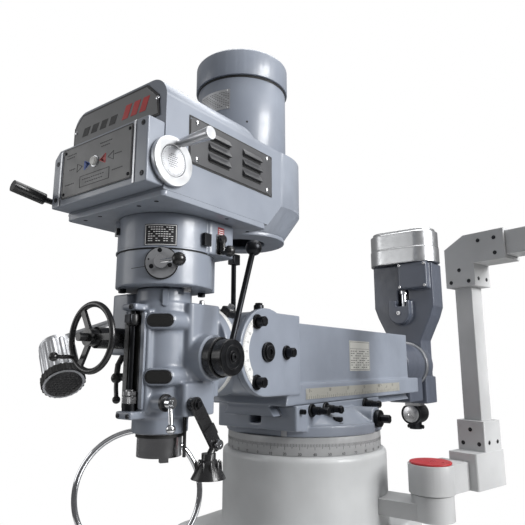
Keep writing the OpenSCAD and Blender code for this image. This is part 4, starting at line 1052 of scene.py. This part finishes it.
# ------------------------------------------------------ heads, knobs and plugs
ball = Piece("selector_ball", BLACK, "selector_crank")
ball.place((0, 0, 0))
turn = math.radians(-47)
bx, by = 120 * math.cos(turn) - 34 * math.sin(turn), 120 * math.sin(turn) + 34 * math.cos(turn)
ball.ball(bx, by, 375, 13.6).done()
plugs = Piece("oil_cups", STEEL, "head")
for x, y, z in ((-72, 40, 300), (60, 50, 300)):
    plugs.place((x, y, z), Z, Y).turned([(6, -1), (6, 3), (5, 5), (5, 8), (3.5, 9.5)], 28)
plugs.done()
ribs = Piece("housing_ridge", PAINT, "head").place((0, -66, 0), FRONT)
ribs.plate(14, 92, 24, 280, -2, 5, 4.5, 2).done()
neck = Piece("neck_rib", PAINT, "head").place((44, -38, 0), heading(-41))
neck.plate(-6, 290, 6, 327, -10, 5, 5, 2).done()
handle = Piece("door_handle", CHROME, "stand").place((140, 801, -655), BACK)
handle.turned([(13, 0), (13, 6), (9, 8), (9, 20), (14, 22), (14, 30), (12, 32)], 40).done()
feet = Piece("anchor_bolts", STEEL, "stand")
for x in (-265, 265):
    for y in (-633 + 532, 417 + 532):
        feet.place((x, y, -1230 + 88), Z, Y).turned([(22, 0), (22, 3), (21, 4)], 36).hexagon(0, 0, 4, 30, 18)
feet.done()

# ----------------------------------------------------------- machined edges
EDGES = {"belt_housing": 0.0035, "speed_box": 0.003, "housing_base": 0.0015, "louvre_plates": 0.0006,
         "motor_cover": 0.002, "motor_body": 0.0015, "turret_ring": 0.001, "speed_crank": 0.0008,
         "selector_plate": 0.0006, "speed_plate": 0.0005, "brake_lever": 0.002, "work_lamp": 0.0015,
         "slot_tool_head": 0.0015, "ram_pinion": 0.001, "quill_stop": 0.001, "column_door": 0.002,
         "pendant_base": 0.003, "pendant_arm": 0.003, "pendant_elbow": 0.003, "pendant_post": 0.002,
         "pendant_tube": 0.002, "pendant_box": 0.003, "pendant_cap": 0.0015, "table": 0.0012,
         "knee_crank": 0.0015, "table_feed": 0.001, "cross_feed": 0.001, "feed_hub": 0.0012,
         "range_lever": 0.001, "slot_ring": 0.001, "knuckle_rod": 0.001}
for name, width in EDGES.items():
    as_machined(name, width)

# ------------------------------------------------------------------ studio

def area_light(name, position, target, size, power, colour=(1, 1, 1)):
    lamp = bpy.data.lights.new(name, "AREA")
    lamp.shape = "RECTANGLE"
    lamp.size, lamp.size_y = size
    lamp.energy = power
    lamp.color = colour
    obj = bpy.data.objects.new(name, lamp)
    bpy.context.scene.collection.objects.link(obj)
    look_along(obj, position, target - position, Z)


lo, hi = cad_box
middle = (lo + hi) / 2
area_light("key", Vector((3.8, 0.2, 2.9)), NOSE + mm(0, 200, 300), (1.8, 1.8), 230)
area_light("top", Vector((0.2, 0.2, 4.2)), NOSE + mm(0, 300, 400), (2.5, 2.5), 75)
area_light("fill", Vector((-2.6, -3.0, 2.2)), NOSE + mm(0, 200, 300), (2.0, 2.0), 30)

world = bpy.data.worlds.new("studio")
bpy.context.scene.world = world
world.use_nodes = True
tree = world.node_tree
tree.nodes.clear()
output = tree.nodes.new("ShaderNodeOutputWorld")
seen = tree.nodes.new("ShaderNodeBackground")
seen.inputs["Color"].default_value = (1, 1, 1, 1)
around = tree.nodes.new("ShaderNodeBackground")
around.inputs["Strength"].default_value = 0.34
ramp = tree.nodes.new("ShaderNodeValToRGB")
for place, grey in ((0.0, 0.25), (0.46, 0.35), (0.56, 0.75), (1.0, 1.0)):
    stop = ramp.color_ramp.elements[0] if place == 0.0 else ramp.color_ramp.elements.new(place)
    stop.color = (grey, grey, grey * 1.02, 1)
ramp.color_ramp.elements[-1].color = (1, 1, 1, 1)
height = tree.nodes.new("ShaderNodeSeparateXYZ")
tree.links.new(tree.nodes.new("ShaderNodeTexCoord").outputs["Generated"], height.inputs[0])
scale = tree.nodes.new("ShaderNodeMapRange")
scale.inputs["From Min"].default_value = -1
tree.links.new(height.outputs["Z"], scale.inputs["Value"])
tree.links.new(scale.outputs[0], ramp.inputs[0])
tree.links.new(ramp.outputs[0], around.inputs["Color"])
path = tree.nodes.new("ShaderNodeLightPath")
either = tree.nodes.new("ShaderNodeMixShader")
tree.links.new(path.outputs["Is Camera Ray"], either.inputs[0])
tree.links.new(around.outputs[0], either.inputs[1])
tree.links.new(seen.outputs[0], either.inputs[2])
tree.links.new(either.outputs[0], output.inputs[0])
bpy.context.scene.view_settings.view_transform = "Standard"

floor_mesh = bpy.data.meshes.new("floor")
FLOOR_RADIUS = 2.6
ring = [(FLOOR_RADIUS * math.cos(i * math.tau / 96), FLOOR_RADIUS * math.sin(i * math.tau / 96), 0) for i in range(96)]
floor_mesh.from_pydata(ring, [], [tuple(range(96))])
floor = bpy.data.objects.new("floor", floor_mesh)
bpy.context.scene.collection.objects.link(floor)
floor_mesh.materials.append(painted("pale_floor", (0.72, 0.72, 0.71), 0.6, cast=0.0, coat=0.0, crevice_shade_amount=0.0))
